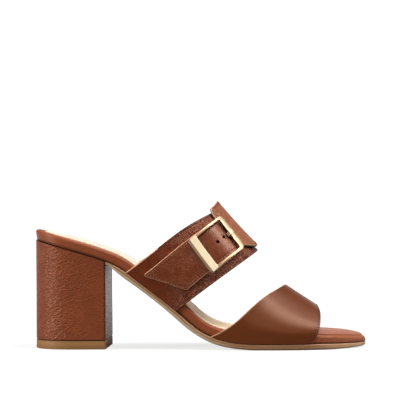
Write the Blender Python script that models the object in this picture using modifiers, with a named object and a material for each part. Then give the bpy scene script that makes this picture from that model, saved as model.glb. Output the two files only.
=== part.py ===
"""Right-foot heeled mule sandal: block heel, wrapped footbed, vamp band and buckled instep band.

Lengths are millimetres, turned into metres where meshes are made. X runs from the back of the heel
to the toe, Y to the inner side of the foot, Z up from the floor. An empty moves the whole shoe so
that the world origin is the middle of the heel's underside.
"""
import math
from collections import namedtuple

import bpy
from mathutils import Vector

MM = 0.001
GAP = 0.3

# Driving sizes of the shoe
SHOE_LENGTH = 226.0
HEEL_LENGTH = 50.0
HEEL_HALF_WIDTH = 28.0
TOP_LIFT_HEIGHT = 5.8
BACK_ROUND = 27.0
TOE_ROUND = 30.0
ROUND_POWER = 2.2
END_STEPS = 8
END_TURN = 9.0
BACK_LEAN = 1.2
BACK_LEAN_RUN = 22.0
EDGE_ROLL = 2.0
OUTSOLE_EDGE_RISE = 0.9
OUTSOLE_EDGE_INSET = 1.6
SOCK_THICK = 0.9
SOCK_INSET = 2.6
SOCK_BACK = 6.0
SOCK_END = 172.0
TOE_INSET = 2.6
TOE_CROWN = 1.6
BAND_THICK = 1.8
BELT_THICK = 1.6
FRAME_THICK = 1.6
PLATE_THICK = 1.3
PRONG_THICK = 0.8

# Heights of the layers over the inner face of the instep band
LAYER_TWO = BAND_THICK + GAP
FRAME_LEVEL = LAYER_TWO + BAND_THICK + GAP
PLATE_LEVEL = FRAME_LEVEL + FRAME_THICK + GAP

# One row for each station along the sole: height of the seam over the outsole, height of the
# outsole's underside, height of the footbed's wall, half widths to the outer and inner side, depth
# of the footbed's hollow, and how far the outsole stands out past the footbed.
Station = namedtuple("Station", "x seam ground wall outer inner hollow ledge")
STATIONS = [
    Station(0.0, 74.5, 73.0, 7.2, 28.5, 28.5, 0.6, 0.0),
    Station(20.0, 68.9, 67.0, 7.4, 28.5, 28.5, 1.4, 0.0),
    Station(40.0, 63.1, 61.0, 7.4, 28.5, 28.2, 1.4, 0.0),
    Station(51.0, 59.1, 57.2, 7.6, 28.4, 27.8, 1.2, 0.1),
    Station(60.0, 54.7, 50.0, 8.2, 28.2, 27.2, 1.0, 1.9),
    Station(72.0, 45.8, 41.3, 9.0, 28.1, 26.8, 0.8, 2.1),
    Station(86.0, 35.2, 30.6, 9.4, 28.9, 27.2, 0.8, 2.1),
    Station(98.0, 25.7, 20.5, 9.7, 30.2, 28.4, 0.8, 2.1),
    Station(106.0, 18.6, 13.7, 9.8, 31.6, 29.8, 0.9, 2.1),
    Station(113.0, 13.2, 9.0, 8.7, 33.0, 31.3, 1.0, 2.1),
    Station(121.0, 9.1, 5.0, 7.5, 34.9, 33.4, 1.0, 2.1),
    Station(131.0, 6.0, 2.0, 7.2, 37.0, 36.0, 0.8, 2.1),
    Station(142.0, 4.5, 0.5, 7.0, 39.2, 38.4, 0.6, 2.1),
    Station(152.0, 4.1, 0.0, 6.8, 40.6, 39.9, 0.4, 2.1),
    Station(165.0, 4.0, 0.0, 6.6, 41.2, 40.8, 0.2, 2.1),
    Station(180.0, 4.0, 0.0, 6.1, 39.8, 40.0, 0.0, 2.1),
    Station(196.0, 4.0, 0.0, 5.6, 36.0, 37.0, 0.0, 1.8),
    Station(211.0, 3.8, 0.2, 5.0, 31.0, 33.0, 0.0, 1.0),
    Station(226.0, 3.4, 0.9, 4.0, 26.0, 30.0, 0.0, 0.3),
]

# One arch for each edge of a band: where it leaves the sole on the outer and inner side, its crest,
# and the bow and sway of the edge seen from the side.
Arch = namedtuple("Arch", "outer_x inner_x crest_x crest_z bow sway")
Band = namedtuple("Band", "rear front crest_y leave")
INSTEP = Band(
    rear=Arch(outer_x=64.0, inner_x=62.0, crest_x=124.6, crest_z=92.7, bow=2.0, sway=0.7),
    front=Arch(outer_x=98.0, inner_x=94.0, crest_x=151.6, crest_z=64.6, bow=0.3, sway=0.0),
    crest_y=4.0,
    leave=0.23,
)
VAMP = Band(
    rear=Arch(outer_x=121.5, inner_x=128.0, crest_x=171.0, crest_z=40.7, bow=0.4, sway=1.5),
    front=Arch(outer_x=188.4, inner_x=184.0, crest_x=192.6, crest_z=26.5, bow=-3.8, sway=0.0),
    crest_y=3.0,
    leave=0.25,
)
INNER_BOW = 0.3

# Places on the outer side of the instep band: across from its rear edge (0) to its front edge (1),
# and rise from the sole (0) to the crest (1).
Side = namedtuple("Side", "across rise")
BELT_REAR = Side(across=0.216, rise=0.088)
BELT_FRONT = Side(across=0.81, rise=0.248)
BELT_TOP_REAR = Side(across=0.185, rise=0.905)
BELT_TOP_FRONT = Side(across=0.79, rise=0.868)
BUCKLE_LOW_REAR = Side(across=0.232, rise=0.592)
BUCKLE_LOW_FRONT = Side(across=0.874, rise=0.526)
BUCKLE_HIGH_REAR = Side(across=0.144, rise=0.928)
BUCKLE_HIGH_FRONT = Side(across=0.798, rise=0.889)

# Lines of the buckle as shares of its width (rear to front) and length (low to high bar)
FRAME_WIDTH_LINES = (0.0, 0.07, 0.285, 0.5, 0.715, 0.93, 1.0)
FRAME_LENGTH_LINES = (0.0, 0.11, 0.24, 0.37, 0.5, 0.63, 0.76, 0.895, 1.0)
PLATE_LENGTH_LINES = (0.025, 0.1, 0.185)
PRONG_WIDTH_LINES = (0.445, 0.5, 0.555)
# Length shares of the prong's folds and their heights over the band's inner face
PRONG_FOLDS = ((0.825, 4.1), (0.855, 4.1), (0.87, 6.1), (0.93, 6.1), (1.0, 6.1))

# One row for each line across the upper layer of the instep band, from its cut end under the
# buckle to the inner sole edge: share of the layer's length, where the line starts and ends across
# the band, where its two ends lie along the band, and how far each end stands off.
TopLine = namedtuple("TopLine", "share rear_across front_across rear_along front_along rear_lift front_lift")
TOP_LINES = [
    TopLine(0.00, 0.17, 0.78, -0.275, -0.298, 0.0, 0.0),
    TopLine(0.08, 0.07, 0.86, -0.252, -0.205, 0.0, 0.7),
    TopLine(0.16, -0.03, 0.935, -0.236, -0.115, 0.9, 1.3),
    TopLine(0.32, -0.13, 0.91, 0.0, 0.0, 1.6, 0.6),
    TopLine(0.44, -0.04, 0.92, 0.16, 0.16, 0.9, 0.2),
    TopLine(0.60, 0.03, 0.94, 0.40, 0.40, 0.3, 0.0),
    TopLine(1.00, 0.03, 0.97, 0.97, 0.97, 0.0, 0.0),
]

# Part colours as red, green and blue, with roughness and metallic value
Finish = namedtuple("Finish", "colour roughness metallic")
SMOOTH_LEATHER = Finish((0.24, 0.075, 0.03), 0.38, 0.0)
GRAIN_LEATHER = Finish((0.19, 0.05, 0.022), 0.45, 0.0)
WRAP_LEATHER = Finish((0.21, 0.06, 0.026), 0.5, 0.0)
SOCK_LEATHER = Finish((0.80, 0.62, 0.46), 0.6, 0.0)
TAN_SOLE = Finish((0.42, 0.24, 0.11), 0.55, 0.0)
PALE_GOLD = Finish((0.90, 0.72, 0.45), 0.22, 1.0)


def clear_scene():
    """Removes whatever objects the file starts with."""
    for item in list(bpy.data.objects):
        bpy.data.objects.remove(item, do_unlink=True)


def between(first, last, share):
    """Value at a share of the way from first to last."""
    return first + (last - first) * share


def smooth_value(rows, column, x):
    """Reads a table's column at x, its first column, along a curve that never overshoots."""
    xs = [row[0] for row in rows]
    ys = [getattr(row, column) for row in rows]
    x = min(max(x, xs[0]), xs[-1])
    k = max(i for i in range(len(xs) - 1) if xs[i] <= x)
    slopes = [(ys[i + 1] - ys[i]) / (xs[i + 1] - xs[i]) for i in range(len(xs) - 1)]

    def tangent(i):
        if i == 0 or i == len(slopes):
            return slopes[min(i, len(slopes) - 1)]
        before, after = slopes[i - 1], slopes[i]
        if before * after <= 0.0:
            return 0.0
        run_before, run_after = xs[i] - xs[i - 1], xs[i + 1] - xs[i]
        weight = (run_before + 2.0 * run_after) / (3.0 * (run_before + run_after))
        return before * after / (weight * after + (1.0 - weight) * before)

    run = xs[k + 1] - xs[k]
    t = (x - xs[k]) / run
    start = (1.0 + 2.0 * t) * (1.0 - t) ** 2 * ys[k] + t * (1.0 - t) ** 2 * run * tangent(k)
    end = t * t * (3.0 - 2.0 * t) * ys[k + 1] + t * t * (t - 1.0) * run * tangent(k + 1)
    return start + end


def sole(column, x):
    """Reads one column of the sole's table."""
    return smooth_value(STATIONS, column, x)


def end_round(x, start, end):
    """Share of the full width left at x between the round back and the round toe."""
    back = max(0.0, (start + BACK_ROUND - x) / BACK_ROUND)
    toe = max(0.0, (x - end + TOE_ROUND) / TOE_ROUND)
    share = max(0.0, 1.0 - min(1.0, max(back, toe)) ** ROUND_POWER)
    return math.sqrt(share)


def round_places(length):
    """Distances from a round end's tip at which its width grows in even turns of an arc."""
    turns = [math.radians(between(END_TURN, 90.0, i / END_STEPS)) for i in range(END_STEPS)]
    return [length * (1.0 - math.cos(turn) ** (2.0 / ROUND_POWER)) for turn in turns]


def spread(start, end, count, back_round=0.0, toe_round=0.0):
    """Stations from start to end, drawn together towards round ends."""
    body = end - start - back_round - toe_round
    places = [start + place for place in round_places(back_round) if back_round]
    places += [start + back_round + body * i / count for i in range(count + 1)]
    places += [end - place for place in reversed(round_places(toe_round)) if toe_round]
    return places


def half_widths(x, inset=0.0, start=0.0, end=SHOE_LENGTH):
    """Distances from the middle line to the outer and inner edge, the ends rounded."""
    share = end_round(x, start, end)
    middle = (sole("inner", x) - sole("outer", x)) / 2.0
    half = ((sole("inner", x) + sole("outer", x)) / 2.0 - inset) * share
    return half - middle, half + middle


def end_drop(x):
    """How far the footbed's upper edge rolls down at its round back and toe."""
    return EDGE_ROLL * (1.0 - end_round(x, 0.0, SHOE_LENGTH)) ** 3


def footbed_top(x, y):
    """Height of the footbed's upper face, hollow in the middle."""
    outer, inner = half_widths(x)
    place = (2.0 * y - inner + outer) / (outer + inner)
    hollow = sole("hollow", x) * max(0.0, 1.0 - place * place)
    return sole("seam", x) + sole("wall", x) - end_drop(x) - hollow


def make_object(name, verts, faces, finish, smooth=True):
    """Makes a mesh object from points in millimetres and gives it its finish."""
    mesh = bpy.data.meshes.new(name)
    mesh.from_pydata([Vector(v) * MM for v in verts], [], faces)
    mesh.update()
    if smooth:
        mesh.shade_smooth()
        mesh.set_sharp_from_angle(angle=math.radians(40.0))
    item = bpy.data.objects.new(name, mesh)
    material = bpy.data.materials.new(name + "_finish")
    material.use_nodes = True
    shader = material.node_tree.nodes["Principled BSDF"]
    shader.inputs["Base Color"].default_value = (*finish.colour, 1.0)
    shader.inputs["Roughness"].default_value = finish.roughness
    shader.inputs["Metallic"].default_value = finish.metallic
    mesh.materials.append(material)
    SHOE.objects.link(item)
    item.parent = STAND
    return item


def loft(name, rings, finish):
    """Joins closed rings of equal count into one solid with flat ends."""
    count = len(rings[0])
    verts = [point for ring in rings for point in ring]
    faces = []
    for r in range(len(rings) - 1):
        for i in range(count):
            j = (i + 1) % count
            faces.append((r * count + i, (r + 1) * count + i, (r + 1) * count + j, r * count + j))
    faces.append(tuple(range(count)))
    faces.append(tuple((len(rings) - 1) * count + i for i in reversed(range(count))))
    return make_object(name, verts, faces, finish)


def wall(name, grid, thick, finish, left_out=lambda r, c: False):
    """Makes an open surface of points a wall of one thickness, grown on its outer side."""
    columns = len(grid[0])
    used = {}
    verts = []

    def corner(r, c):
        if (r, c) not in used:
            used[r, c] = len(verts)
            verts.append(grid[r][c])
        return used[r, c]

    faces = []
    for r in range(len(grid) - 1):
        for c in range(columns - 1):
            if not left_out(r, c):
                faces.append((corner(r, c), corner(r + 1, c), corner(r + 1, c + 1), corner(r, c + 1)))
    item = make_object(name, verts, faces, finish)
    solid = item.modifiers.new("thickness", "SOLIDIFY")
    solid.thickness = thick * MM
    solid.offset = 1.0
    return item


def build_outsole():
    """Thin outsole from the heel's breast to the toe, edge rounded underneath."""
    start = HEEL_LENGTH + GAP
    rings = []
    for x in spread(start, SHOE_LENGTH, 34, 0.0, TOE_ROUND):
        outer, inner = half_widths(x, -sole("ledge", x))
        top = sole("seam", x) - GAP
        low = sole("ground", x)
        edge = min(OUTSOLE_EDGE_RISE, (top - low) / 2.0)
        inset = OUTSOLE_EDGE_INSET
        rings.append([
            (x, -outer, top),
            (x, inner, top),
            (x, inner, low + edge),
            (x, inner - inset / 3.0, low + edge / 3.0),
            (x, inner - inset, low),
            (x, -outer + inset, low),
            (x, -outer + inset / 3.0, low + edge / 3.0),
            (x, -outer, low + edge),
        ])
    return loft("outsole", rings, TAN_SOLE)


def build_footbed():
    """Wrapped platform with a rolled upper edge and a shallow hollow for the foot."""
    rings = []
    roll = EDGE_ROLL
    for x in spread(0.0, SHOE_LENGTH, 34, BACK_ROUND, TOE_ROUND):
        outer, inner = half_widths(x)
        low = sole("seam", x)
        high = low + sole("wall", x) - end_drop(x)
        lean = BACK_LEAN * max(0.0, 1.0 - x / BACK_LEAN_RUN)
        ring = [(x + lean, inner, low), (x + lean, -outer, low)]
        for angle in (0.0, 45.0, 90.0):
            inset = roll * (1.0 - math.cos(math.radians(angle)))
            z = high - roll * (1.0 - math.sin(math.radians(angle)))
            ring.append((x, -outer + inset, z))
        left, right = -outer + roll, inner - roll
        for share in (0.2, 0.5, 0.8):
            y = left + (right - left) * share
            ring.append((x, y, footbed_top(x, y)))
        for angle in (90.0, 45.0, 0.0):
            inset = roll * (1.0 - math.cos(math.radians(angle)))
            z = high - roll * (1.0 - math.sin(math.radians(angle)))
            ring.append((x, inner - inset, z))
        rings.append(ring)
    return loft("footbed", rings, WRAP_LEATHER)


def cover_ring(x, outer, inner, thick, crown):
    """Section of a cover that lies on the footbed, its top crowned in the middle."""
    shares = (0.0, 0.15, 0.35, 0.65, 0.85, 1.0)
    low, high = [], []
    for share in shares:
        y = -outer + (outer + inner) * share
        z = footbed_top(x, y) + GAP
        low.append((x, y, z))
        high.append((x, y, z + thick + crown * 4.0 * share * (1.0 - share)))
    return low[::-1] + high


def build_sock():
    """Beige sock from the heel seat to under the vamp."""
    rings = []
    for x in spread(SOCK_BACK, SOCK_END, 30, BACK_ROUND, 0.0):
        outer, inner = half_widths(x, SOCK_INSET, start=SOCK_BACK)
        rings.append(cover_ring(x, outer, inner, SOCK_THICK, 0.0))
    return loft("sock_lining", rings, SOCK_LEATHER)


def build_toe_cover():
    """Brown toe end of the sock, slightly crowned."""
    rings = []
    end = SHOE_LENGTH - TOE_INSET
    for x in spread(SOCK_END + GAP, end, 12, 0.0, TOE_ROUND):
        outer, inner = half_widths(x, SOCK_INSET, end=end)
        fade = min(1.0, (x - SOCK_END) / 20.0)
        rings.append(cover_ring(x, outer, inner, SOCK_THICK, TOE_CROWN * fade))
    return loft("toe_cover", rings, WRAP_LEATHER)


def block_rings(low, high_at, lift):
    """Upright D-shaped sections of the heel, from the round back to the flat breast."""
    rings = []
    for x in spread(0.0, HEEL_LENGTH, 6, BACK_ROUND, 0.0):
        half = (HEEL_HALF_WIDTH - lift) * end_round(x, 0.0, 2.0 * SHOE_LENGTH)
        high = high_at(x)
        rings.append([(x, half, low), (x, -half, low), (x, -half, high), (x, half, high)])
    return rings


def build_heel():
    """Covered block heel, its top cut to the footbed's seam."""
    rings = block_rings(TOP_LIFT_HEIGHT + GAP, lambda x: sole("seam", x) - GAP, 0.0)
    return loft("heel_block", rings, GRAIN_LEATHER)


def build_top_lift():
    """Flat lift under the heel."""
    return loft("heel_top_lift", block_rings(0.0, lambda x: TOP_LIFT_HEIGHT, 0.2), TAN_SOLE)


def blend_arch(band, across):
    """Arch between a band's rear and front edge."""
    values = [a + (b - a) * across for a, b in zip(band.rear, band.front)]
    return Arch(*values)


def band_point(band, across, along):
    """Point on a band's inner face: across 0 to 1, along -1 (outer sole) to 1 (inner sole)."""
    arch = blend_arch(band, across)
    rise = math.sin((1.0 - abs(along)) * math.pi / 2.0)
    foot_x = arch.outer_x if along < 0.0 else arch.inner_x
    foot_z = sole("seam", foot_x)
    run, climb = arch.crest_x - foot_x, arch.crest_z - foot_z
    length = math.hypot(run, climb)
    bow = arch.bow * math.sin(math.pi * rise) - arch.sway * math.sin(2.0 * math.pi * rise)
    bow *= 1.0 if along < 0.0 else INNER_BOW
    x = foot_x + run * rise - climb / length * bow
    z = foot_z + climb * rise + run / length * bow
    bend = max(0.0, (rise - band.leave) / (1.0 - band.leave))
    spread_share = math.sqrt(max(0.0, 1.0 - bend * bend))
    if along < 0.0:
        y = band.crest_y - (sole("outer", x) + GAP + band.crest_y) * spread_share
    else:
        y = band.crest_y + (sole("inner", x) + GAP - band.crest_y) * spread_share
    return Vector((x, y, z))


def band_normal(band, across, along):
    """Outward direction of a band's face."""
    step = 0.004
    side = band_point(band, across + step, along) - band_point(band, across - step, along)
    ahead = band_point(band, across, min(1.0, along + step))
    behind = band_point(band, across, max(-1.0, along - step))
    return side.cross(ahead - behind).normalized()


def layer_point(band, across, along, level):
    """Point at a height over a band's inner face."""
    return band_point(band, across, along) + band_normal(band, across, along) * level


def along_of(rise):
    """Place along a band's outer side where it has risen by this share of its height."""
    return -(1.0 - math.asin(min(1.0, rise)) * 2.0 / math.pi)


def patch(band, level, corner_at, rows, columns, lift_at=lambda a, b: 0.0):
    """Grid of points on a layer; corner_at gives across and along for shares 0 to 1."""
    grid = []
    for r in range(rows + 1):
        row = []
        for c in range(columns + 1):
            across, along = corner_at(r / rows, c / columns)
            height = level + lift_at(r / rows, c / columns)
            row.append(layer_point(band, across, along, height))
        grid.append(row)
    return grid


def build_band(name, band, rows, columns, finish):
    """Whole band from the outer to the inner sole edge."""
    grid = patch(band, 0.0, lambda a, b: (a, -1.0 + 2.0 * b), rows, columns)
    return wall(name, grid, BAND_THICK, finish)


def build_belt():
    """Belt end on the outer side, cut at a slant, running up to the buckle's high bar."""
    def place(a, b):
        start = along_of(between(BELT_REAR.rise, BELT_FRONT.rise, a))
        end = along_of(between(BELT_TOP_REAR.rise, BELT_TOP_FRONT.rise, a))
        low = between(BELT_REAR.across, BELT_FRONT.across, a)
        high = between(BELT_TOP_REAR.across, BELT_TOP_FRONT.across, a)
        return between(low, high, b), between(start, end, b)
    return wall("belt_strap", patch(INSTEP, LAYER_TWO, place, 8, 16), BELT_THICK, GRAIN_LEATHER)


def build_top_band():
    """Upper layer from the buckle's high bar over the crest and down the inner side."""
    def line(column, b):
        return smooth_value(TOP_LINES, column, b)

    def place(a, b):
        across = between(line("rear_across", b), line("front_across", b), a)
        return across, between(line("rear_along", b), line("front_along", b), a)

    def lift(a, b):
        return line("rear_lift", b) * (1.0 - a) ** 1.5 + line("front_lift", b) * a ** 3

    grid = patch(INSTEP, LAYER_TWO, place, 12, 25, lift)
    return wall("instep_top_band", grid, BAND_THICK, GRAIN_LEATHER)


def buckle_place(width, length):
    """Place on the instep band of a point given by shares of the buckle's width and length."""
    low = along_of(between(BUCKLE_LOW_REAR.rise, BUCKLE_LOW_FRONT.rise, width))
    high = along_of(between(BUCKLE_HIGH_REAR.rise, BUCKLE_HIGH_FRONT.rise, width))
    low_across = between(BUCKLE_LOW_REAR.across, BUCKLE_LOW_FRONT.across, width)
    high_across = between(BUCKLE_HIGH_REAR.across, BUCKLE_HIGH_FRONT.across, width)
    return between(low_across, high_across, length), between(low, high, length)


def buckle_grid(width_lines, folds):
    """Grid of points over the band from lines of width and folds of length and height."""
    grid = []
    for width in width_lines:
        places = [(buckle_place(width, length), level) for length, level in folds]
        grid.append([layer_point(INSTEP, *place, level) for place, level in places])
    return grid


def build_buckle_frame():
    """Frame of the buckle: a flat ring bent to the band, open in the middle."""
    folds = [(length, FRAME_LEVEL) for length in FRAME_LENGTH_LINES]
    rows, columns = len(FRAME_WIDTH_LINES), len(FRAME_LENGTH_LINES)

    def in_window(r, c):
        return 0 < r < rows - 2 and 0 < c < columns - 2
    return wall("buckle_frame", buckle_grid(FRAME_WIDTH_LINES, folds), FRAME_THICK, PALE_GOLD, in_window)


def build_buckle_plate():
    """Wide flat plate over the frame's low bar."""
    folds = [(length, PLATE_LEVEL) for length in PLATE_LENGTH_LINES]
    return wall("buckle_plate", buckle_grid(FRAME_WIDTH_LINES, folds), PLATE_THICK, PALE_GOLD)


def build_buckle_prong():
    """Short prong, folded over the frame's high bar and down to the belt."""
    return wall("buckle_prong", buckle_grid(PRONG_WIDTH_LINES, PRONG_FOLDS), PRONG_THICK, PALE_GOLD)


def main():
    """Builds every piece of the shoe."""
    build_outsole()
    build_footbed()
    build_sock()
    build_toe_cover()
    build_heel()
    build_top_lift()
    build_band("vamp_band", VAMP, 20, 30, SMOOTH_LEATHER)
    build_band("instep_band", INSTEP, 12, 36, GRAIN_LEATHER)
    build_belt()
    build_top_band()
    build_buckle_frame()
    build_buckle_plate()
    build_buckle_prong()


clear_scene()
SHOE = bpy.data.collections.new("heeled_shoe")
bpy.context.scene.collection.children.link(SHOE)
STAND = bpy.data.objects.new("shoe_stand", None)
STAND.location = (-HEEL_LENGTH / 2.0 * MM, 0.0, 0.0)
SHOE.objects.link(STAND)
main()
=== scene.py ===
"""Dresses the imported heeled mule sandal: leather straps, wrapped footbed, covered heel and buckle.

Sizes are millimetres, measured as in the part: X from the back of the heel to the toe, Y to the inner
side of the foot, Z up from the floor. Finished meshes are put into the shared frame in metres.
"""
import logging
import math
from dataclasses import dataclass, field
from enum import Enum
from typing import Any, Callable, NamedTuple, Sequence

import bmesh
import bpy
import numpy as np
from mathutils import Matrix, Vector

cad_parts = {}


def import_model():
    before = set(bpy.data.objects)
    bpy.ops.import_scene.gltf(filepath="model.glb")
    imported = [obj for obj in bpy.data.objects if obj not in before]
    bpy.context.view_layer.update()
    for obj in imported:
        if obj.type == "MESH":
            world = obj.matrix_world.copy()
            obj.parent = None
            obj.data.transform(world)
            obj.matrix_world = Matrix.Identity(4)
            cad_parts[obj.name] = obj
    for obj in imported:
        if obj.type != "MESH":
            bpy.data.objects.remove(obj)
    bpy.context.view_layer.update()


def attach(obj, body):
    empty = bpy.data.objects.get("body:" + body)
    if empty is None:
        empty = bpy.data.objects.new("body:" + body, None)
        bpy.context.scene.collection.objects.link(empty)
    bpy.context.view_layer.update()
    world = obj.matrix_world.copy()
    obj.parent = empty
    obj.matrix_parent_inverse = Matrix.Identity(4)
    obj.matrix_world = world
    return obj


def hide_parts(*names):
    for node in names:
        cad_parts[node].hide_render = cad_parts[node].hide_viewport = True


LOG = logging.getLogger("heeled_shoe")
Array = np.ndarray
Colour = tuple[float, float, float]
Point = tuple[float, float, float]
Place = Callable[[Array, Array], tuple[Array, Array]]
Height = Callable[[Array, Array], Array]
Shift = Callable[[Array, int], Array]
Span = tuple[float, float]

MM = 0.001
GAP = 0.3
HEEL_LENGTH = 50.0
SHOE_LENGTH = 226.0
BODY = "root"
SHARP_ANGLE = math.radians(42.0)
SHEEN_TINT: Colour = (1.0, 0.62, 0.44)
# Near-black for edge wear on the straps and for painted shade at seams, heel breast corners and gaps between
# layers.
WEAR_AND_SHADE_DARK: Colour = (0.030, 0.008, 0.004)
MERGE_DISTANCE = 1e-7
ON_EDGE = 1e-6
CORNER_CUT = 0.25
EDGE_TURNS = np.radians(np.linspace(15.0, 90.0, 6))
WHITE: Colour = (1.0, 1.0, 1.0)
MIDDLE: Span = (0.3, 0.7)
UPPER: Span = (0.35, 0.75)
SHORTEST = 1e-12


class Slot(Enum):
    """Material slots of the record."""

    SMOOTH = "smooth_leather"
    GRAIN = "grain_leather"
    HEEL = "heel_leather"
    WRAP = "wrapped_leather"
    SOCK = "beige_sock"
    OUTSOLE = "tan_outsole"
    TOP_LIFT = "tan_top_lift"
    GOLD = "pale_gold"


class Edge(Enum):
    """Edges of a strap: rear and front run along it, start and end cross it."""

    REAR = "rear"
    FRONT = "front"
    START = "start"
    END = "end"


LONG_EDGES = (Edge.REAR, Edge.FRONT)
CROSS_EDGES = (Edge.START, Edge.END)


class Station(NamedTuple):
    """One row of the sole's table; heights and widths at a distance x from the heel's back."""

    x: float
    seam: float
    ground: float
    wall: float
    outer: float
    inner: float
    hollow: float
    ledge: float


STATIONS = (
    Station(0.0, 74.5, 73.0, 7.2, 28.5, 28.5, 0.6, 0.0),
    Station(20.0, 68.9, 67.0, 7.4, 28.5, 28.5, 1.4, 0.0),
    Station(40.0, 63.1, 61.0, 7.4, 28.5, 28.2, 1.4, 0.0),
    Station(51.0, 59.1, 57.2, 7.6, 28.4, 27.8, 1.2, 0.1),
    Station(60.0, 54.7, 50.0, 8.2, 28.2, 27.2, 1.0, 1.9),
    Station(72.0, 45.8, 41.3, 9.0, 28.1, 26.8, 0.8, 2.1),
    Station(86.0, 35.2, 30.6, 9.4, 28.9, 27.2, 0.8, 2.1),
    Station(98.0, 25.7, 20.5, 9.7, 30.2, 28.4, 0.8, 2.1),
    Station(106.0, 18.6, 13.7, 9.8, 31.6, 29.8, 0.9, 2.1),
    Station(113.0, 13.2, 9.0, 8.7, 33.0, 31.3, 1.0, 2.1),
    Station(121.0, 9.1, 5.0, 7.5, 34.9, 33.4, 1.0, 2.1),
    Station(131.0, 6.0, 2.0, 7.2, 37.0, 36.0, 0.8, 2.1),
    Station(142.0, 4.5, 0.5, 7.0, 39.2, 38.4, 0.6, 2.1),
    Station(152.0, 4.1, 0.0, 6.8, 40.6, 39.9, 0.4, 2.1),
    Station(165.0, 4.0, 0.0, 6.6, 41.2, 40.8, 0.2, 2.1),
    Station(180.0, 4.0, 0.0, 6.1, 39.8, 40.0, 0.0, 2.1),
    Station(196.0, 4.0, 0.0, 5.6, 36.0, 37.0, 0.0, 1.8),
    Station(211.0, 3.8, 0.2, 5.0, 31.0, 33.0, 0.0, 1.0),
    Station(226.0, 3.4, 0.9, 4.0, 26.0, 30.0, 0.0, 0.3),
)


def between(first: Any, last: Any, share: Any) -> Any:
    """Value at a share of the way from first to last, for numbers or arrays."""
    return first + (last - first) * share


def to_frame(points: Array) -> Array:
    """Points in millimetres from the heel's back, as metres in the shared frame."""
    return (np.asarray(points, float) - np.array([HEEL_LENGTH / 2.0, 0.0, 0.0])) * MM


def unit(vectors: Array) -> Array:
    """Vectors scaled to length one."""
    return vectors / np.maximum(np.linalg.norm(vectors, axis=-1, keepdims=True), SHORTEST)


def smooth(share: Any) -> Any:
    """Smooth step of a share from 0 to 1."""
    return share * share * (3.0 - 2.0 * share)


def within(x: Any, span: Span) -> Array:
    """Share of the way through a span, held at 0 and 1."""
    return np.clip((np.asarray(x, float) - span[0]) / (span[1] - span[0]), 0.0, 1.0)


def hump(x: Any, middle: float, reach: float) -> Array:
    """Soft hump that is 1 at its middle and fades over its reach."""
    return np.exp(-((x - middle) / reach) ** 2)


class Curve:
    """A table's column, read along a smooth curve that never overshoots its rows."""

    def __init__(self, xs: Sequence[float], ys: Sequence[float]) -> None:
        """Works out the slope at each row.

        Args:
            xs: Rising positions of the rows.
            ys: Value at each row.
        """
        self.xs = np.array(xs, float)
        self.ys = np.array(ys, float)
        runs = np.diff(self.xs)
        slopes = np.diff(self.ys) / runs
        tangents = [slopes[0]]
        for i in range(1, len(slopes)):
            before, after = slopes[i - 1], slopes[i]
            weight = (runs[i - 1] + 2.0 * runs[i]) / (3.0 * (runs[i - 1] + runs[i]))
            same_way = before * after > 0.0
            mean = before * after / (weight * after + (1.0 - weight) * before) if same_way else 0.0
            tangents.append(mean)
        self.tangents = np.array(tangents + [slopes[-1]])

    def __call__(self, x: Any) -> Array:
        """Values at the positions x, held at the ends."""
        x = np.clip(np.asarray(x, float), self.xs[0], self.xs[-1])
        k = np.clip(np.searchsorted(self.xs, x, side="right") - 1, 0, len(self.xs) - 2)
        run = self.xs[k + 1] - self.xs[k]
        t = (x - self.xs[k]) / run
        start = (1.0 + 2.0 * t) * (1.0 - t) ** 2 * self.ys[k]
        start = start + t * (1.0 - t) ** 2 * run * self.tangents[k]
        end = smooth(t) * self.ys[k + 1]
        return start + end + t * t * (t - 1.0) * run * self.tangents[k + 1]


def column_curves(rows: Sequence[Any]) -> dict[str, Curve]:
    """Curve of each further column of a table over its first one."""
    first = [row[0] for row in rows]
    return {name: Curve(first, [getattr(row, name) for row in rows]) for name in rows[0]._fields[1:]}


def dome(y: Any, outer: Array, inner: Array) -> Array:
    """1 midway between two sides, falling to 0 at them."""
    place = (2.0 * y - inner + outer) / np.maximum(outer + inner, 1.0)
    return np.maximum(0.0, 1.0 - place * place)


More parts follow.
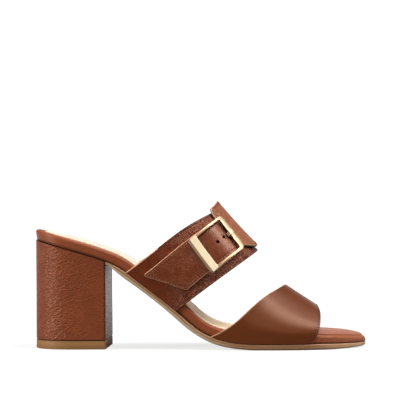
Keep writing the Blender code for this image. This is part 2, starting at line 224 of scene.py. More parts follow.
@dataclass(frozen=True)
class SoleShape:
    """The sole's outline and heights, shared by every piece that lies on it."""

    back_round: float = 27.0
    toe_round: float = 30.0
    round_power: float = 2.2
    end_turn: float = 2.0
    end_steps: int = 22
    curves: dict[str, Curve] = field(default_factory=lambda: column_curves(STATIONS))

    def read(self, column: str, x: Any) -> Array:
        """Value of one column of the table at x."""
        return self.curves[column](x)

    def end_share(self, x: Any, start: float, end: float) -> Array:
        """Share of the full width left at x between a round back and a round toe.

        Args:
            x: Distances from the heel's back.
            start: Tip of the round back.
            end: Tip of the round toe.

        Returns:
            Shares from 0 at a tip to 1 where the rounding ends.
        """
        back = (start + self.back_round - np.asarray(x, float)) / self.back_round
        toe = (np.asarray(x, float) - end + self.toe_round) / self.toe_round
        turn = np.clip(np.maximum(back, toe), 0.0, 1.0)
        return np.sqrt(1.0 - turn ** self.round_power)

    def half_widths(self, x: Any, inset: Any, start: float, end: float) -> tuple[Array, Array]:
        """Distances from the middle line to the outer and the inner edge.

        Args:
            x: Distances from the heel's back.
            inset: How far the edge lies inside the footbed's edge.
            start: Tip of the round back.
            end: Tip of the round toe.

        Returns:
            Outer and inner half width.
        """
        share = self.end_share(x, start, end)
        outer, inner = self.read("outer", x), self.read("inner", x)
        half = ((inner + outer) / 2.0 - inset) * share
        middle = (inner - outer) / 2.0
        return half - middle, half + middle

    def top(self, x: Any, y: Any) -> Array:
        """Height of the footbed's upper face, hollow in the middle."""
        hollow = self.read("hollow", x) * dome(y, *self.half_widths(x, 0.0, 0.0, SHOE_LENGTH))
        return self.read("seam", x) + self.read("wall", x) - hollow

    def stations(self, start: float, end: float, count: int, back: bool, toe: bool) -> Array:
        """Distances along the sole, drawn together towards round ends.

        Args:
            start: First distance.
            end: Last distance.
            count: Steps between the round ends.
            back: Whether the start is round.
            toe: Whether the end is round.

        Returns:
            Rising distances.
        """
        turns = np.radians(np.linspace(self.end_turn, 90.0, self.end_steps, endpoint=False))
        draw = 1.0 - np.cos(turns) ** (2.0 / self.round_power)
        first = start + self.back_round if back else start
        last = end - self.toe_round if toe else end
        body = np.linspace(first, last, count + 1)
        head = start + self.back_round * draw if back else np.zeros(0)
        tail = end - (self.toe_round * draw)[::-1] if toe else np.zeros(0)
        return np.concatenate([head, body, tail])


SOLE = SoleShape()


def add_object(name: str, data: Any) -> bpy.types.Object:
    """Adds an object with its data to the scene."""
    made = bpy.data.objects.new(name, data)
    bpy.context.scene.collection.objects.link(made)
    return made


def baked(piece: bpy.types.Object) -> bpy.types.Mesh:
    """Plain mesh of a piece with its modifiers carried out."""
    done = piece.evaluated_get(bpy.context.evaluated_depsgraph_get())
    return bpy.data.meshes.new_from_object(done)


class MeshDraft:
    """Collects the points, faces and named point values of one closed piece."""

    def __init__(self) -> None:
        """Starts empty."""
        self.blocks: list[Array] = []
        self.values: list[dict[str, Array]] = []
        self.faces: list[tuple[int, ...]] = []
        self.count = 0

    def points(self, grid: Array, **values: Any) -> Array:
        """Adds points.

        Args:
            grid: Points in millimetres, the last axis being X, Y, Z.
            values: Named values for each point, or one for all.

        Returns:
            Index of each point, shaped as the grid.
        """
        shape = grid.shape[:-1]
        indices = self.count + np.arange(int(np.prod(shape))).reshape(shape)
        self.blocks.append(grid.reshape(-1, 3))
        self.values.append({
            name: np.broadcast_to(np.asarray(value, float), shape).reshape(-1)
            for name, value in values.items()
        })
        self.count += indices.size
        return indices

    def quads(self, indices: Array, closed: bool = False, flip: bool = False) -> None:
        """Joins a grid of points with four-sided faces.

        Args:
            indices: Grid of point indices.
            closed: Whether the last column meets the first.
            flip: Whether the faces look the other way.
        """
        if closed:
            indices = np.concatenate([indices, indices[:, :1]], axis=1)
        corners = [indices[:-1, :-1], indices[1:, :-1], indices[1:, 1:], indices[:-1, 1:]]
        if flip:
            corners.reverse()
        stacked = np.stack(corners, axis=-1).reshape(-1, 4)
        self.faces.extend(tuple(int(i) for i in face) for face in stacked)

    def polygon(self, indices: Sequence[int]) -> None:
        """Adds one face with any number of corners."""
        self.faces.append(tuple(int(i) for i in indices))

    def finish(self, name: str, material: bpy.types.Material) -> bpy.types.Object:
        """Makes the mesh object with its faces outwards.

        Args:
            name: Name of the piece.
            material: Finish of the piece.

        Returns:
            The new object, at the origin.
        """
        mesh = bpy.data.meshes.new(name)
        mesh.from_pydata(to_frame(np.concatenate(self.blocks)).tolist(), [], self.faces)
        names = sorted({key for block in self.values for key in block})
        for key in names:
            parts = []
            for points, block in zip(self.blocks, self.values):
                parts.append(block.get(key, np.zeros(len(points))))
            layer = mesh.attributes.new(key, "FLOAT", "POINT")
            layer.data.foreach_set("value", np.concatenate(parts).astype(np.float32))
        shaped = bmesh.new()
        shaped.from_mesh(mesh)
        bmesh.ops.remove_doubles(shaped, verts=shaped.verts, dist=MERGE_DISTANCE)
        bmesh.ops.recalc_face_normals(shaped, faces=shaped.faces)
        shaped.to_mesh(mesh)
        shaped.free()
        mesh.shade_smooth()
        mesh.set_sharp_from_angle(angle=SHARP_ANGLE)
        mesh.materials.append(material)
        return add_object(name, mesh)


def settle(piece: bpy.types.Object, slot: Slot, *nodes: str) -> None:
    """Lets a piece ride on the shoe and stand for its solids.

    Args:
        piece: Finished piece.
        slot: Material slot of the record; not used.
        nodes: Solids that the piece stands for.
    """
    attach(piece, BODY)
    if nodes:
        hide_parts(*nodes)
    LOG.info("%s: %d faces", piece.name, len(piece.data.polygons))


class Shade:
    """A node's output that takes part in Python arithmetic."""

    def __init__(self, book: "NodeBook", socket: bpy.types.NodeSocket) -> None:
        """Keeps the socket and the tree that it belongs to."""
        self.book = book
        self.socket = socket

    def math(self, operation: str, *others: Any) -> "Shade":
        """Adds a Math node with this socket first."""
        inputs = dict(enumerate((self,) + others))
        return self.book.node("ShaderNodeMath", {"operation": operation}, inputs)

    def __add__(self, other: Any) -> "Shade":
        """Sum."""
        return self.math("ADD", other)

    def __sub__(self, other: Any) -> "Shade":
        """Difference."""
        return self.math("SUBTRACT", other)

    def __rsub__(self, other: Any) -> "Shade":
        """Difference with a number first."""
        return self.math("MULTIPLY_ADD", -1.0, other)

    def __mul__(self, other: Any) -> "Shade":
        """Product."""
        return self.math("MULTIPLY", other)

    __radd__ = __add__
    __rmul__ = __mul__

    def swing(self, reach: float) -> "Shade":
        """Turns noise about 0.5 into a swing about 0."""
        return (self - 0.5) * reach

    def ramp(self, low: float, high: float) -> "Shade":
        """Goes smoothly from 0 at low to 1 at high."""
        settings = {"interpolation_type": "SMOOTHSTEP"}
        inputs = {"Value": self, "From Min": low, "From Max": high}
        return self.book.node("ShaderNodeMapRange", settings, inputs)


class NodeBook:
    """Adds nodes to one tree."""

    def __init__(self, tree: bpy.types.NodeTree) -> None:
        """Keeps the tree."""
        self.tree = tree

    def node(self, kind: str, settings: dict[str, Any], inputs: dict[Any, Any], output: Any = 0) -> Shade:
        """Adds a node.

        Args:
            kind: Type of the node.
            settings: Properties that are set first.
            inputs: Values or links of its sockets, by name or number.
            output: Name or number of the socket that is returned.

        Returns:
            The chosen output.
        """
        made = self.tree.nodes.new(kind)
        for key, value in settings.items():
            setattr(made, key, value)
        for key, value in inputs.items():
            self.feed(made.inputs[key], value)
        return Shade(self, made.outputs[output])

    def feed(self, socket: bpy.types.NodeSocket, value: Any) -> None:
        """Links an output to a socket, or sets the socket's own value."""
        source = value.socket if isinstance(value, Shade) else value
        if isinstance(source, bpy.types.NodeSocket):
            self.tree.links.new(source, socket)
        elif isinstance(value, tuple) and socket.type == "RGBA":
            socket.default_value = (*value, 1.0)
        else:
            socket.default_value = value


class ShadeBook(NodeBook):
    """Adds nodes to the tree of one material or surround."""

    def __init__(self, owner: bpy.types.Material | bpy.types.World) -> None:
        """Starts from the owner's own shader.

        Args:
            owner: Material or surround whose tree is written.
        """
        owner.use_nodes = True
        super().__init__(owner.node_tree)
        self.owner = owner
        self.shader = next(n for n in self.tree.nodes if n.type in ("BSDF_PRINCIPLED", "BACKGROUND"))

    def place(self) -> Shade:
        """Object coordinates."""
        return self.node("ShaderNodeTexCoord", {}, {}, "Object")

    def axis(self, name: str, place: Shade | None = None) -> Shade:
        """One axis of the object coordinates or of a given place."""
        return self.node("ShaderNodeSeparateXYZ", {}, {0: place or self.place()}, name)

    def attribute(self, name: str) -> Shade:
        """A named point value of the piece."""
        return self.node("ShaderNodeAttribute", {"attribute_name": name}, {}, "Fac")

    def noise(self, size: float, detail: float = 3.0, warp: float = 0.0, place: Shade | None = None) -> Shade:
        """Soft noise whose features are about size millimetres."""
        inputs = {
            "Vector": place or self.place(), "Scale": 1.0 / (size * MM), "Detail": detail, "Distortion": warp,
        }
        return self.node("ShaderNodeTexNoise", {}, inputs, "Fac")

    def mix(self, share: Any, first: Any, second: Any) -> Shade:
        """Colour between two colours."""
        settings = {"data_type": "RGBA"}
        return self.node("ShaderNodeMix", settings, {0: share, 6: first, 7: second}, 2)

    def shift(self, place: Shade, noise_size: float, reach: float) -> Shade:
        """Coordinates moved about by noise, so that cells lose their regular form."""
        noise = {"Vector": place, "Scale": 1.0 / (noise_size * MM), "Detail": 1.0}
        wander = self.node("ShaderNodeTexNoise", {}, noise, "Color")
        middle = (0.5, 0.5, 0.5)
        centred = self.node("ShaderNodeVectorMath", {"operation": "SUBTRACT"}, {0: wander, 1: middle})
        inputs = {0: centred, 1: (reach * MM,) * 3, 2: place}
        return self.node("ShaderNodeVectorMath", {"operation": "MULTIPLY_ADD"}, inputs)

    def bump(self, height: Shade, depth: float = 1.0) -> Shade:
        """Surface direction from a height between 0 and 1 and its depth in millimetres."""
        inputs = {"Strength": 1.0, "Distance": depth * MM, "Height": height}
        return self.node("ShaderNodeBump", {}, inputs)

    def paint(self, **inputs: Any) -> Any:
        """Feeds the shader's sockets, named with underlines for spaces, and gives the owner back."""
        for key, value in inputs.items():
            self.feed(self.shader.inputs[key.replace("_", " ")], value)
        return self.owner


@dataclass(frozen=True)
class LeatherFinish:
    """Look of one leather: colours, grain and gloss; sizes in millimetres."""

    name: str
    base: Colour
    dark: Colour
    light: Colour
    cut: Colour
    lining: Colour
    cell_size: float
    cell_depth: float
    cell_dark: float
    vein_light: float
    fine_depth: float
    roughness: float
    specular: float
    mottle_size: float
    mottle: float
    rim_dark: float
    fine_size: float = 0.3
    shift_size: float = 1.5
    shift_reach: float = 1.1
    fleck_size: float = 1.2
    fleck_span: Span = (0.012, 0.06)
    fleck_share: float = 0.6
    crack_span: Span = (0.02, 0.13)
    crack_share: float = 0.55
    swell_span: Span = (0.0, 0.45)
    tone_span: Span = (0.25, 0.95)
    vein_span: Span = (0.30, 0.60)
    under_span: Span = (0.45, 0.55)
    fine_rough: float = 0.15
    tone_rough: float = 0.06
    cut_rough: float = 0.2
    toe_light: float = 0.0
    toe_span: Span = (0.150, 0.185)

    def material(self) -> bpy.types.Material:
        """Builds the material.

        Returns:
            Leather with a grain of cells and veins, mottled colour, pale cut edges and a lining inside.
        """
        book = ShadeBook(bpy.data.materials.new(self.name))
        moved = book.shift(book.place(), self.cell_size * self.shift_size, self.cell_size * self.shift_reach)
        inputs = {"Vector": moved, "Scale": 1.0 / (self.cell_size * MM)}
        edge = book.node("ShaderNodeTexVoronoi", {"feature": "DISTANCE_TO_EDGE"}, inputs, "Distance")
        tone = book.node("ShaderNodeTexVoronoi", {"feature": "F1"}, inputs, "Color")
        tone = book.node("ShaderNodeSeparateColor", {}, {0: tone}, "Red")
        grain = book.attribute("grain")
        mottle = book.noise(self.mottle_size, 3.0, 0.5)
        fine = book.noise(self.fine_size, 3.0, 0.3)
        wander = book.noise(self.cell_size * self.fleck_size, 3.0, 1.5)
        fleck = 1.0 - (wander - 0.5).math("ABSOLUTE").ramp(*self.fleck_span)
        vein = (1.0 - edge.ramp(*self.crack_span)) * self.crack_share + fleck * self.fleck_share
        swell = edge.ramp(*self.swell_span)
        colour = book.mix(tone.ramp(*self.tone_span) * grain * self.cell_dark, self.base, self.dark)
        colour = book.mix(mottle.ramp(*UPPER) * self.mottle, colour, self.dark)
        # Lighter veins and flecks: a painted glint on the grain's ridges, mixed with the grain's own paler
        # tone.
        vein = vein * mottle.ramp(*self.vein_span) * grain * self.vein_light
        colour = book.mix(vein, colour, self.light)
        # Painted sheen: the toe end is mixed towards the light colour.
        if self.toe_light:
            toe = book.axis("X").ramp(*self.toe_span)
            colour = book.mix(toe * self.toe_light, colour, self.light)
        # Darker near the rim: edge wear on the straps, and painted seam shade on the footbed's tucked foot.
        colour = book.mix(book.attribute("rim") * self.rim_dark, colour, WEAR_AND_SHADE_DARK)
        colour = book.mix(book.attribute("under").ramp(*self.under_span), colour, self.lining)
        cut = book.attribute("cut")
        colour = book.mix(cut.ramp(*MIDDLE), colour, self.cut)
        colour = book.mix(book.attribute("shade").ramp(*UPPER), colour, WEAR_AND_SHADE_DARK)
        height = swell * grain * self.cell_depth + fine * self.fine_depth
        rough = fine.swing(self.fine_rough) + tone * grain * self.tone_rough + cut * self.cut_rough
        return book.paint(
            Base_Color=colour,
            Roughness=self.roughness + rough,
            Normal=book.bump(height),
            Specular_IOR_Level=self.specular,
            Specular_Tint=SHEEN_TINT,
        )


@dataclass(frozen=True)
class HeelFinish:
    """Look of the leather on the heel: fine wrinkles that run in short slanting ridges."""

    name: str
    base: Colour
    dark: Colour
    light: Colour
    wrinkle_size: float = 1.2
    wrinkle_depth: float = 0.31
    wrinkle_slant: float = -22.0
    wrinkle_stretch: Point = (1.8, 1.3, 0.9)
    shift_size: float = 2.0
    shift_reach: float = 0.7
    ridge_light: float = 0.3
    ridge_rough: float = 0.08
    side_span: Span = (-0.012, 0.022)
    side_smooth: float = 0.45
    breast_span: Span = (0.0244, 0.0249)
    breast_wrinkle: float = 1.1
    patch_size: float = 16.0
    seam_share: float = 0.85
    breast_gloss: float = 0.12
    fine_size: float = 0.35
    fine_depth: float = 0.03
    fine_rough: float = 0.18
    roughness: float = 0.34
    specular: float = 0.62

    def material(self) -> bpy.types.Material:
        """Builds the material.

        Returns:
            Leather with slanting wrinkles and soft mottling.
        """
        book = ShadeBook(bpy.data.materials.new(self.name))
        place = book.place()
        slant = (0.0, math.radians(self.wrinkle_slant), 0.0)
        inputs = {"Vector": place, "Rotation": slant, "Scale": self.wrinkle_stretch}
        turned = book.node("ShaderNodeMapping", {"vector_type": "TEXTURE"}, inputs)
        moved = book.shift(turned, self.wrinkle_size * self.shift_size, self.wrinkle_size * self.shift_reach)
        ridges = book.noise(self.wrinkle_size, 1.0, 0.3, moved)
        fine = book.noise(self.fine_size, 3.0)
        patch = book.noise(self.patch_size, 3.0, 0.4)
        ridge = ridges.ramp(*MIDDLE)
        along = book.axis("X", place)
        breast = along.ramp(*self.breast_span)
        strong = 1.0 - along.ramp(*self.side_span) * self.side_smooth + breast * self.breast_wrinkle
        colour = book.mix(patch.ramp(*MIDDLE), self.dark, self.base)
        # Lighter wrinkle ridges: partly the leather's own tone, partly a painted glint on the ridges.
        colour = book.mix(ridge * strong * self.ridge_light, colour, self.light)
        # Painted shade: near-black at the rolled edges top and bottom and down the breast corners.
        colour = book.mix(book.attribute("rim") * self.seam_share, colour, WEAR_AND_SHADE_DARK)
        rough = fine.swing(self.fine_rough) + (1.0 - ridge) * self.ridge_rough - breast * self.breast_gloss
        return book.paint(
            Base_Color=colour,
            Roughness=self.roughness + rough,
            Normal=book.bump(ridge * strong * self.wrinkle_depth + fine * self.fine_depth),
            Specular_IOR_Level=self.specular,
            Specular_Tint=SHEEN_TINT,
        )


@dataclass(frozen=True)
class SoleFinish:
    """Look of a moulded sole edge: two tones with fine lines along it, and painted light and shade along its
    ledge, arch and toe.
    """

    name: str
    low: Colour
    arch_low: Colour
    high: Colour
    line: Colour
    ledge: Colour
    under: Colour
    split: float
    blend: float = 0.12
    arch_span: Span = (0.085, 0.120)
    covered_from: Span = (0.095, 0.112)
    covered_to: Span = (0.155, 0.167)
    toe_span: Span = (0.158, 0.192)
    toe_share: float = 0.95
    ledge_span: Span = (0.80, 0.97)
    ledge_share: float = 0.5
    ledge_shade: float = 0.4
    streak_size: float = 0.9
    streak_stretch: Point = (0.35, 0.35, 1.6)
    streak_from: float = 0.35
    streak_dark: float = 0.4
    streak_depth: float = 0.05
    speck_size: float = 0.4
    speck_depth: float = 0.03
    speck_rough: float = 0.2
    patch_size: float = 14.0
    patch_span: Span = (0.45, 0.8)
    patch_share: float = 0.3
    roughness: float = 0.5

    def material(self) -> bpy.types.Material:
        """Builds the material.

        Returns:
            Tan edge with a darker upper half and fine scuffs; on the outsole the lighter lower half is
            painted light, paler still in the arch.
        """
        book = ShadeBook(bpy.data.materials.new(self.name))
        height = book.attribute("height")
        place = book.place()
        grain = book.node("ShaderNodeMapping", {}, {"Vector": place, "Scale": self.streak_stretch})
        streak = book.noise(self.streak_size, 4.0, 0.2, grain)
        speck = book.noise(self.speck_size, 2.0)
        patch = book.noise(self.patch_size, 3.0)
        wavy = height + streak.swing(self.blend)
        tone = wavy.ramp(self.split - self.blend, self.split + self.blend)
        along = book.axis("X", place)
        # On the outsole the lower tone is painted lighter against the shade low on the edge, and pale in the
        # arch as painted bounce light from the floor.
        lower = book.mix(along.ramp(*self.arch_span), self.arch_low, self.low)
        colour = book.mix(tone, lower, self.high)
        colour = book.mix((streak - self.streak_from) * self.streak_dark, colour, self.line)
        colour = book.mix(patch.ramp(*self.patch_span) * self.patch_share, colour, lower)
        # Along the upper ledge: a painted highlight on the outsole and a painted shadow line where the vamp
        # overhangs it; the top lift's ledge colour darkens its upper edge. Towards the toe the whole edge is
        # painted lighter in the ledge colour.
        covered = along.ramp(*self.covered_from) * (1.0 - along.ramp(*self.covered_to))
        colour = book.mix(along.ramp(*self.toe_span) * self.toe_share, colour, self.ledge)
        ledge = book.mix(covered, self.ledge, self.line)
        shown = height.ramp(*self.ledge_span) * (covered * self.ledge_shade + self.ledge_share)
        colour = book.mix(shown, colour, ledge)
        colour = book.mix(book.attribute("under"), colour, self.under)
        return book.paint(
            Base_Color=colour,
            Roughness=self.roughness + speck.swing(self.speck_rough),
            Normal=book.bump(streak * self.streak_depth + speck * self.speck_depth),
        )


@dataclass(frozen=True)
class SockFinish:
    """Look of the beige sock: soft matt leather with a pale cut edge."""

    name: str
    base: Colour
    dark: Colour
    edge: Colour
    fore: Colour
    fore_span: Span = (0.075, 0.105)
    patch_size: float = 22.0
    pore_size: float = 0.8
    pore_soft: float = 0.4
    pore_span: Span = (0.0, 0.25)
    pore_dark: float = 0.35
    dent_span: Span = (0.0, 0.3)
    dent_depth: float = 0.05
    edge_span: Span = (0.4, 0.8)
    fine_size: float = 0.5
    fine_depth: float = 0.03
    fine_rough: float = 0.15
    roughness: float = 0.62

    def material(self) -> bpy.types.Material:
        """Builds the material.

        Returns:
            Pale leather with pores and faint marks.
        """
        book = ShadeBook(bpy.data.materials.new(self.name))
        patch = book.noise(self.patch_size, 3.0, 0.5)
        scale = 1.0 / (self.pore_size * MM)
        inputs = {"Vector": book.place(), "Scale": scale, "Smoothness": self.pore_soft}
        pores = book.node("ShaderNodeTexVoronoi", {"feature": "SMOOTH_F1"}, inputs, "Distance")
        fine = book.noise(self.fine_size, 3.0)
        along = book.axis("X")
        colour = book.mix(patch.ramp(*UPPER), self.base, self.dark)
        # Warmer towards the front: painted warm bounce light from the brown bands.
        colour = book.mix(along.ramp(*self.fore_span), colour, self.fore)
        colour = book.mix((1.0 - pores.ramp(*self.pore_span)) * self.pore_dark, colour, self.dark)
        colour = book.mix(book.attribute("rim").ramp(*self.edge_span), colour, self.edge)
        relief = pores.ramp(*self.dent_span) * self.dent_depth + fine * self.fine_depth
        return book.paint(
            Base_Color=colour,
            Roughness=self.roughness + fine.swing(self.fine_rough),
            Normal=book.bump(relief),
        )


@dataclass(frozen=True)
class GoldFinish:
    """Look of the pale gold buckle: polished metal with faint brushing and painted shade in its crevices."""

    name: str
    base: Colour
    shade: Colour
    crevice: Colour = (0.030, 0.018, 0.008)
    roughness: float = 0.34
    metallic: float = 0.72
    brush_slant: float = 52.0
    brush_stretch: Point = (1.0, 1.0, 0.08)
    brush_size: float = 0.25
    brush_depth: float = 0.001
    brush_rough: float = 0.10
    patch_size: float = 5.0
    patch_share: float = 0.4
    patch_rough: float = 0.06
    crevice_span: Span = (0.2, 0.6)

    def material(self) -> bpy.types.Material:
        """Builds the material.

        Returns:
            Pale gold with fine polishing marks and painted crevice shade.
        """
        book = ShadeBook(bpy.data.materials.new(self.name))
        slant = (0.0, math.radians(self.brush_slant), 0.0)
        inputs = {"Vector": book.place(), "Rotation": slant, "Scale": self.brush_stretch}
        along = book.node("ShaderNodeMapping", {}, inputs)
        brushed = book.noise(self.brush_size, 3.0, 0.0, along)
        patch = book.noise(self.patch_size, 3.0)
        colour = book.mix(patch.ramp(*UPPER) * self.patch_share, self.base, self.shade)
        # Painted shade: near-black where a piece marks its crevices.
        colour = book.mix(book.attribute("crevice").ramp(*self.crevice_span), colour, self.crevice)
        rough = brushed.swing(self.brush_rough) + patch.swing(self.patch_rough)
        return book.paint(
            Base_Color=colour,
            Metallic=self.metallic,
            Roughness=self.roughness + rough,
            Normal=book.bump(brushed, self.brush_depth),
        )


@dataclass(frozen=True)
class ThreadFinish:
    """Look of the sewing thread: twisted, slightly waxed."""

    name: str
    base: Colour
    dark: Colour
    twist_size: float = 0.18
    twist_depth: float = 0.04
    twist_rough: float = 0.2
    roughness: float = 0.55

    def material(self) -> bpy.types.Material:
        """Builds the material.

        Returns:
            Thread with fine twist.
        """
        book = ShadeBook(bpy.data.materials.new(self.name))
        twist = book.noise(self.twist_size, 2.0)
        colour = book.mix(twist.ramp(*MIDDLE), self.dark, self.base)
        roughness = self.roughness + twist.swing(self.twist_rough)
        return book.paint(Base_Color=colour, Roughness=roughness, Normal=book.bump(twist, self.twist_depth))


LINING_TAN: Colour = (0.60, 0.38, 0.22)
SMOOTH_BROWN = LeatherFinish(
    name="smooth_brown_leather", base=(0.148, 0.033, 0.0065), dark=(0.112, 0.023, 0.0045),
    light=(0.22, 0.06, 0.02), cut=(0.50, 0.26, 0.15), lining=LINING_TAN,
    cell_size=0.8, cell_depth=0.004, cell_dark=0.10, vein_light=0.05, fine_depth=0.006,
    roughness=0.33, specular=0.44, mottle_size=26.0, mottle=0.25, rim_dark=0.05,
)
GRAIN_BROWN = LeatherFinish(
    name="grained_brown_leather", base=(0.186, 0.034, 0.009), dark=(0.028, 0.005, 0.0025),
    light=(0.46, 0.17, 0.10), cut=(0.80, 0.42, 0.24), lining=LINING_TAN,
    cell_size=1.7, cell_depth=0.26, cell_dark=0.50, vein_light=0.55, fine_depth=0.03,
    roughness=0.27, specular=0.36, mottle_size=6.0, mottle=0.45, rim_dark=0.20,
)
BELT_BROWN = LeatherFinish(
    name="belt_brown_leather", base=(0.185, 0.038, 0.012), dark=(0.066, 0.010, 0.004),
    light=(0.44, 0.15, 0.08), cut=(0.74, 0.36, 0.22), lining=LINING_TAN,
    cell_size=1.7, cell_depth=0.12, cell_dark=0.30, vein_light=0.50, fine_depth=0.02,
    roughness=0.22, specular=0.42, mottle_size=7.0, mottle=0.5, rim_dark=0.15,
)
TOP_BROWN = LeatherFinish(
    name="top_band_leather", base=(0.350, 0.110, 0.050), dark=(0.150, 0.036, 0.014),
    light=(0.55, 0.24, 0.15), cut=(0.80, 0.55, 0.38), lining=(0.66, 0.44, 0.29),
    cell_size=2.2, cell_depth=0.20, cell_dark=0.55, vein_light=0.4, fine_depth=0.025,
    roughness=0.40, specular=0.5, mottle_size=6.0, mottle=0.35, rim_dark=0.10,
)
# Footbed and toe cover: the darkening at the tucked foot is painted seam shade, and the toe end takes a
# painted sheen.
WRAP_BROWN = LeatherFinish(
    name="wrapped_brown_leather", base=(0.300, 0.074, 0.027), dark=(0.215, 0.047, 0.016),
    light=(0.50, 0.17, 0.09), cut=(0.46, 0.17, 0.10), lining=(0.20, 0.06, 0.03),
    cell_size=1.1, cell_depth=0.24, cell_dark=0.2, vein_light=0.15, fine_depth=0.02,
    roughness=0.40, specular=0.42, mottle_size=12.0, mottle=0.3, rim_dark=0.85, toe_light=0.45,
)
HEEL_BROWN = HeelFinish(
    name="heel_brown_leather", base=(0.264, 0.054, 0.0142), dark=(0.216, 0.042, 0.0110),
    light=(0.36, 0.098, 0.041),
)
OUTSOLE_TAN = SoleFinish(
    name="outsole_tan", low=(0.39, 0.200, 0.090), arch_low=(0.64, 0.45, 0.29), high=(0.36, 0.165, 0.062),
    line=(0.20, 0.085, 0.035), ledge=(0.72, 0.41, 0.22), under=(0.55, 0.37, 0.22), split=0.55,
)
TOP_LIFT_TAN = SoleFinish(
    name="top_lift_tan", low=(0.37, 0.175, 0.053), arch_low=(0.37, 0.175, 0.053), high=(0.40, 0.195, 0.062),
    line=(0.28, 0.125, 0.042), ledge=(0.24, 0.11, 0.04), under=(0.40, 0.21, 0.08), split=0.5,
)
BEIGE_SOCK = SockFinish(
    name="beige_sock_leather", base=(0.84, 0.73, 0.60), dark=(0.78, 0.65, 0.51), edge=(0.86, 0.60, 0.42),
    fore=(0.95, 0.77, 0.52),
)
PALE_GOLD = GoldFinish(name="pale_gold_metal", base=(0.88, 0.71, 0.47), shade=(0.80, 0.62, 0.39))
# Frame and prong are the same pale gold: the frame's darker copy is painted shade that tones down its bright
# reflections, and the prong's copy is painted lighter.
FRAME_GOLD = GoldFinish(name="frame_gold_metal", base=(0.51, 0.330, 0.195), shade=(0.45, 0.28, 0.155))
PRONG_GOLD = GoldFinish(name="prong_gold_metal", base=(0.66, 0.45, 0.28), shade=(0.58, 0.38, 0.22))
BROWN_THREAD = ThreadFinish(name="brown_thread", base=(0.020, 0.007, 0.004), dark=(0.008, 0.003, 0.002))
RED_THREAD = ThreadFinish(name="red_brown_thread", base=(0.10, 0.028, 0.014), dark=(0.03, 0.008, 0.004))
# Near-black painted shade for the inside of the belt's punched holes.
HOLE_SHADE = ThreadFinish(name="hole_wall_leather", base=(0.016, 0.005, 0.003), dark=(0.006, 0.002, 0.001))
LIGHT_THREAD = ThreadFinish(name="light_brown_thread", base=(0.36, 0.17, 0.10), dark=(0.20, 0.08, 0.045))


class Outline:
    """Closed edge of a piece that lies along the sole, with a matching net of lid points."""

    def __init__(self, x: Array, outer: Array, inner: Array, shares: Array) -> None:
        """Lays out the edge: outer side, front end, inner side, rear end.

        Args:
            x: Stations along the shoe.
            outer: Half width to the outer side at each station.
            inner: Half width to the inner side at each station.
            shares: Shares of the width, from 0 to 1, at which the lid has points.
        """
        n, m = len(x), len(shares)
        middle = shares[1:-1]
        near = np.stack([x, -outer], axis=1)
        far = np.stack([x, inner], axis=1)
        front = between(near[-1], far[-1], middle[:, None])
        rear = between(near[0], far[0], middle[::-1, None])
        self.shares = shares
        self.ring = np.concatenate([near, front, far[::-1], rear])
        self.net = np.full((n, m), -1)
        self.net[:, 0] = np.arange(n)
        self.net[:, -1] = n + (m - 2) + np.arange(n)[::-1]
        self.net[-1, 1:-1] = n + np.arange(m - 2)
        self.net[0, 1:-1] = 2 * n + (m - 2) + np.arange(m - 2)[::-1]
        ahead = np.roll(self.ring, -1, axis=0) - np.roll(self.ring, 1, axis=0)
        self.inward = unit(np.stack([-ahead[:, 1], ahead[:, 0]], axis=1))

    def moved(self, inset: Any) -> Array:
        """The edge moved inwards by a distance, one number or one for each point."""
        return self.ring + self.inward * np.asarray(inset, float).reshape(-1, 1)


class Loop(NamedTuple):
    """One closed line round a pad: how far it lies inside the edge, its height and point values."""

    inset: float | Array
    height: Height
    values: dict[str, float | Height]

    def read(self, x: Array, y: Array) -> dict[str, Any]:
        """Point values at places on the line or its lid."""
        return {name: value(x, y) if callable(value) else value for name, value in self.values.items()}


def make_pad(outline: Outline, loops: Sequence[Loop], shift: Shift | None = None) -> MeshDraft:
    """Builds a closed piece from lines round its edge and two lids.

    Args:
        outline: Edge of the piece.
        loops: Lines from the lowest to the highest.
        shift: Moves a line's points along the shoe, given their x and the line's number.

    Returns:
        Draft of the piece.
    """
    draft = MeshDraft()
    rows = []
    for number, loop in enumerate(loops):
        flat = outline.moved(loop.inset)
        z = loop.height(flat[:, 0], flat[:, 1])
        x = shift(flat[:, 0], number) if shift else flat[:, 0]
        values = loop.read(flat[:, 0], flat[:, 1])
        rows.append(draft.points(np.stack([x, flat[:, 1], z], axis=1), **values))
    draft.quads(np.stack(rows), closed=True)
    for row, loop in ((rows[0], loops[0]), (rows[-1], loops[-1])):
        flat = outline.moved(loop.inset)
        near, far = flat[outline.net[1:-1, 0]], flat[outline.net[1:-1, -1]]
        inside = between(near[:, None, :], far[:, None, :], outline.shares[None, 1:-1, None])
        z = loop.height(inside[..., 0], inside[..., 1])
        values = {**loop.read(inside[..., 0], inside[..., 1]), "rim": 0.0, "cut": 0.0}
        added = draft.points(np.concatenate([inside, z[..., None]], axis=2), **values)
        net = np.where(outline.net >= 0, row[outline.net], -1)
        net[1:-1, 1:-1] = added
        draft.quads(net)
    return draft


def even(size: float) -> Height:
    """A height that is the same everywhere."""
    return lambda px, py: np.full(np.shape(px), size)


def rolled(radius: float, steps: int) -> list[tuple[float, float]]:
    """Inset and drop below the upper face at even turns of a rolled edge, from its side to its top."""
    turns = np.radians(np.linspace(0.0, 90.0, steps))
    return [(radius * (1.0 - math.cos(turn)), radius * (1.0 - math.sin(turn))) for turn in turns]


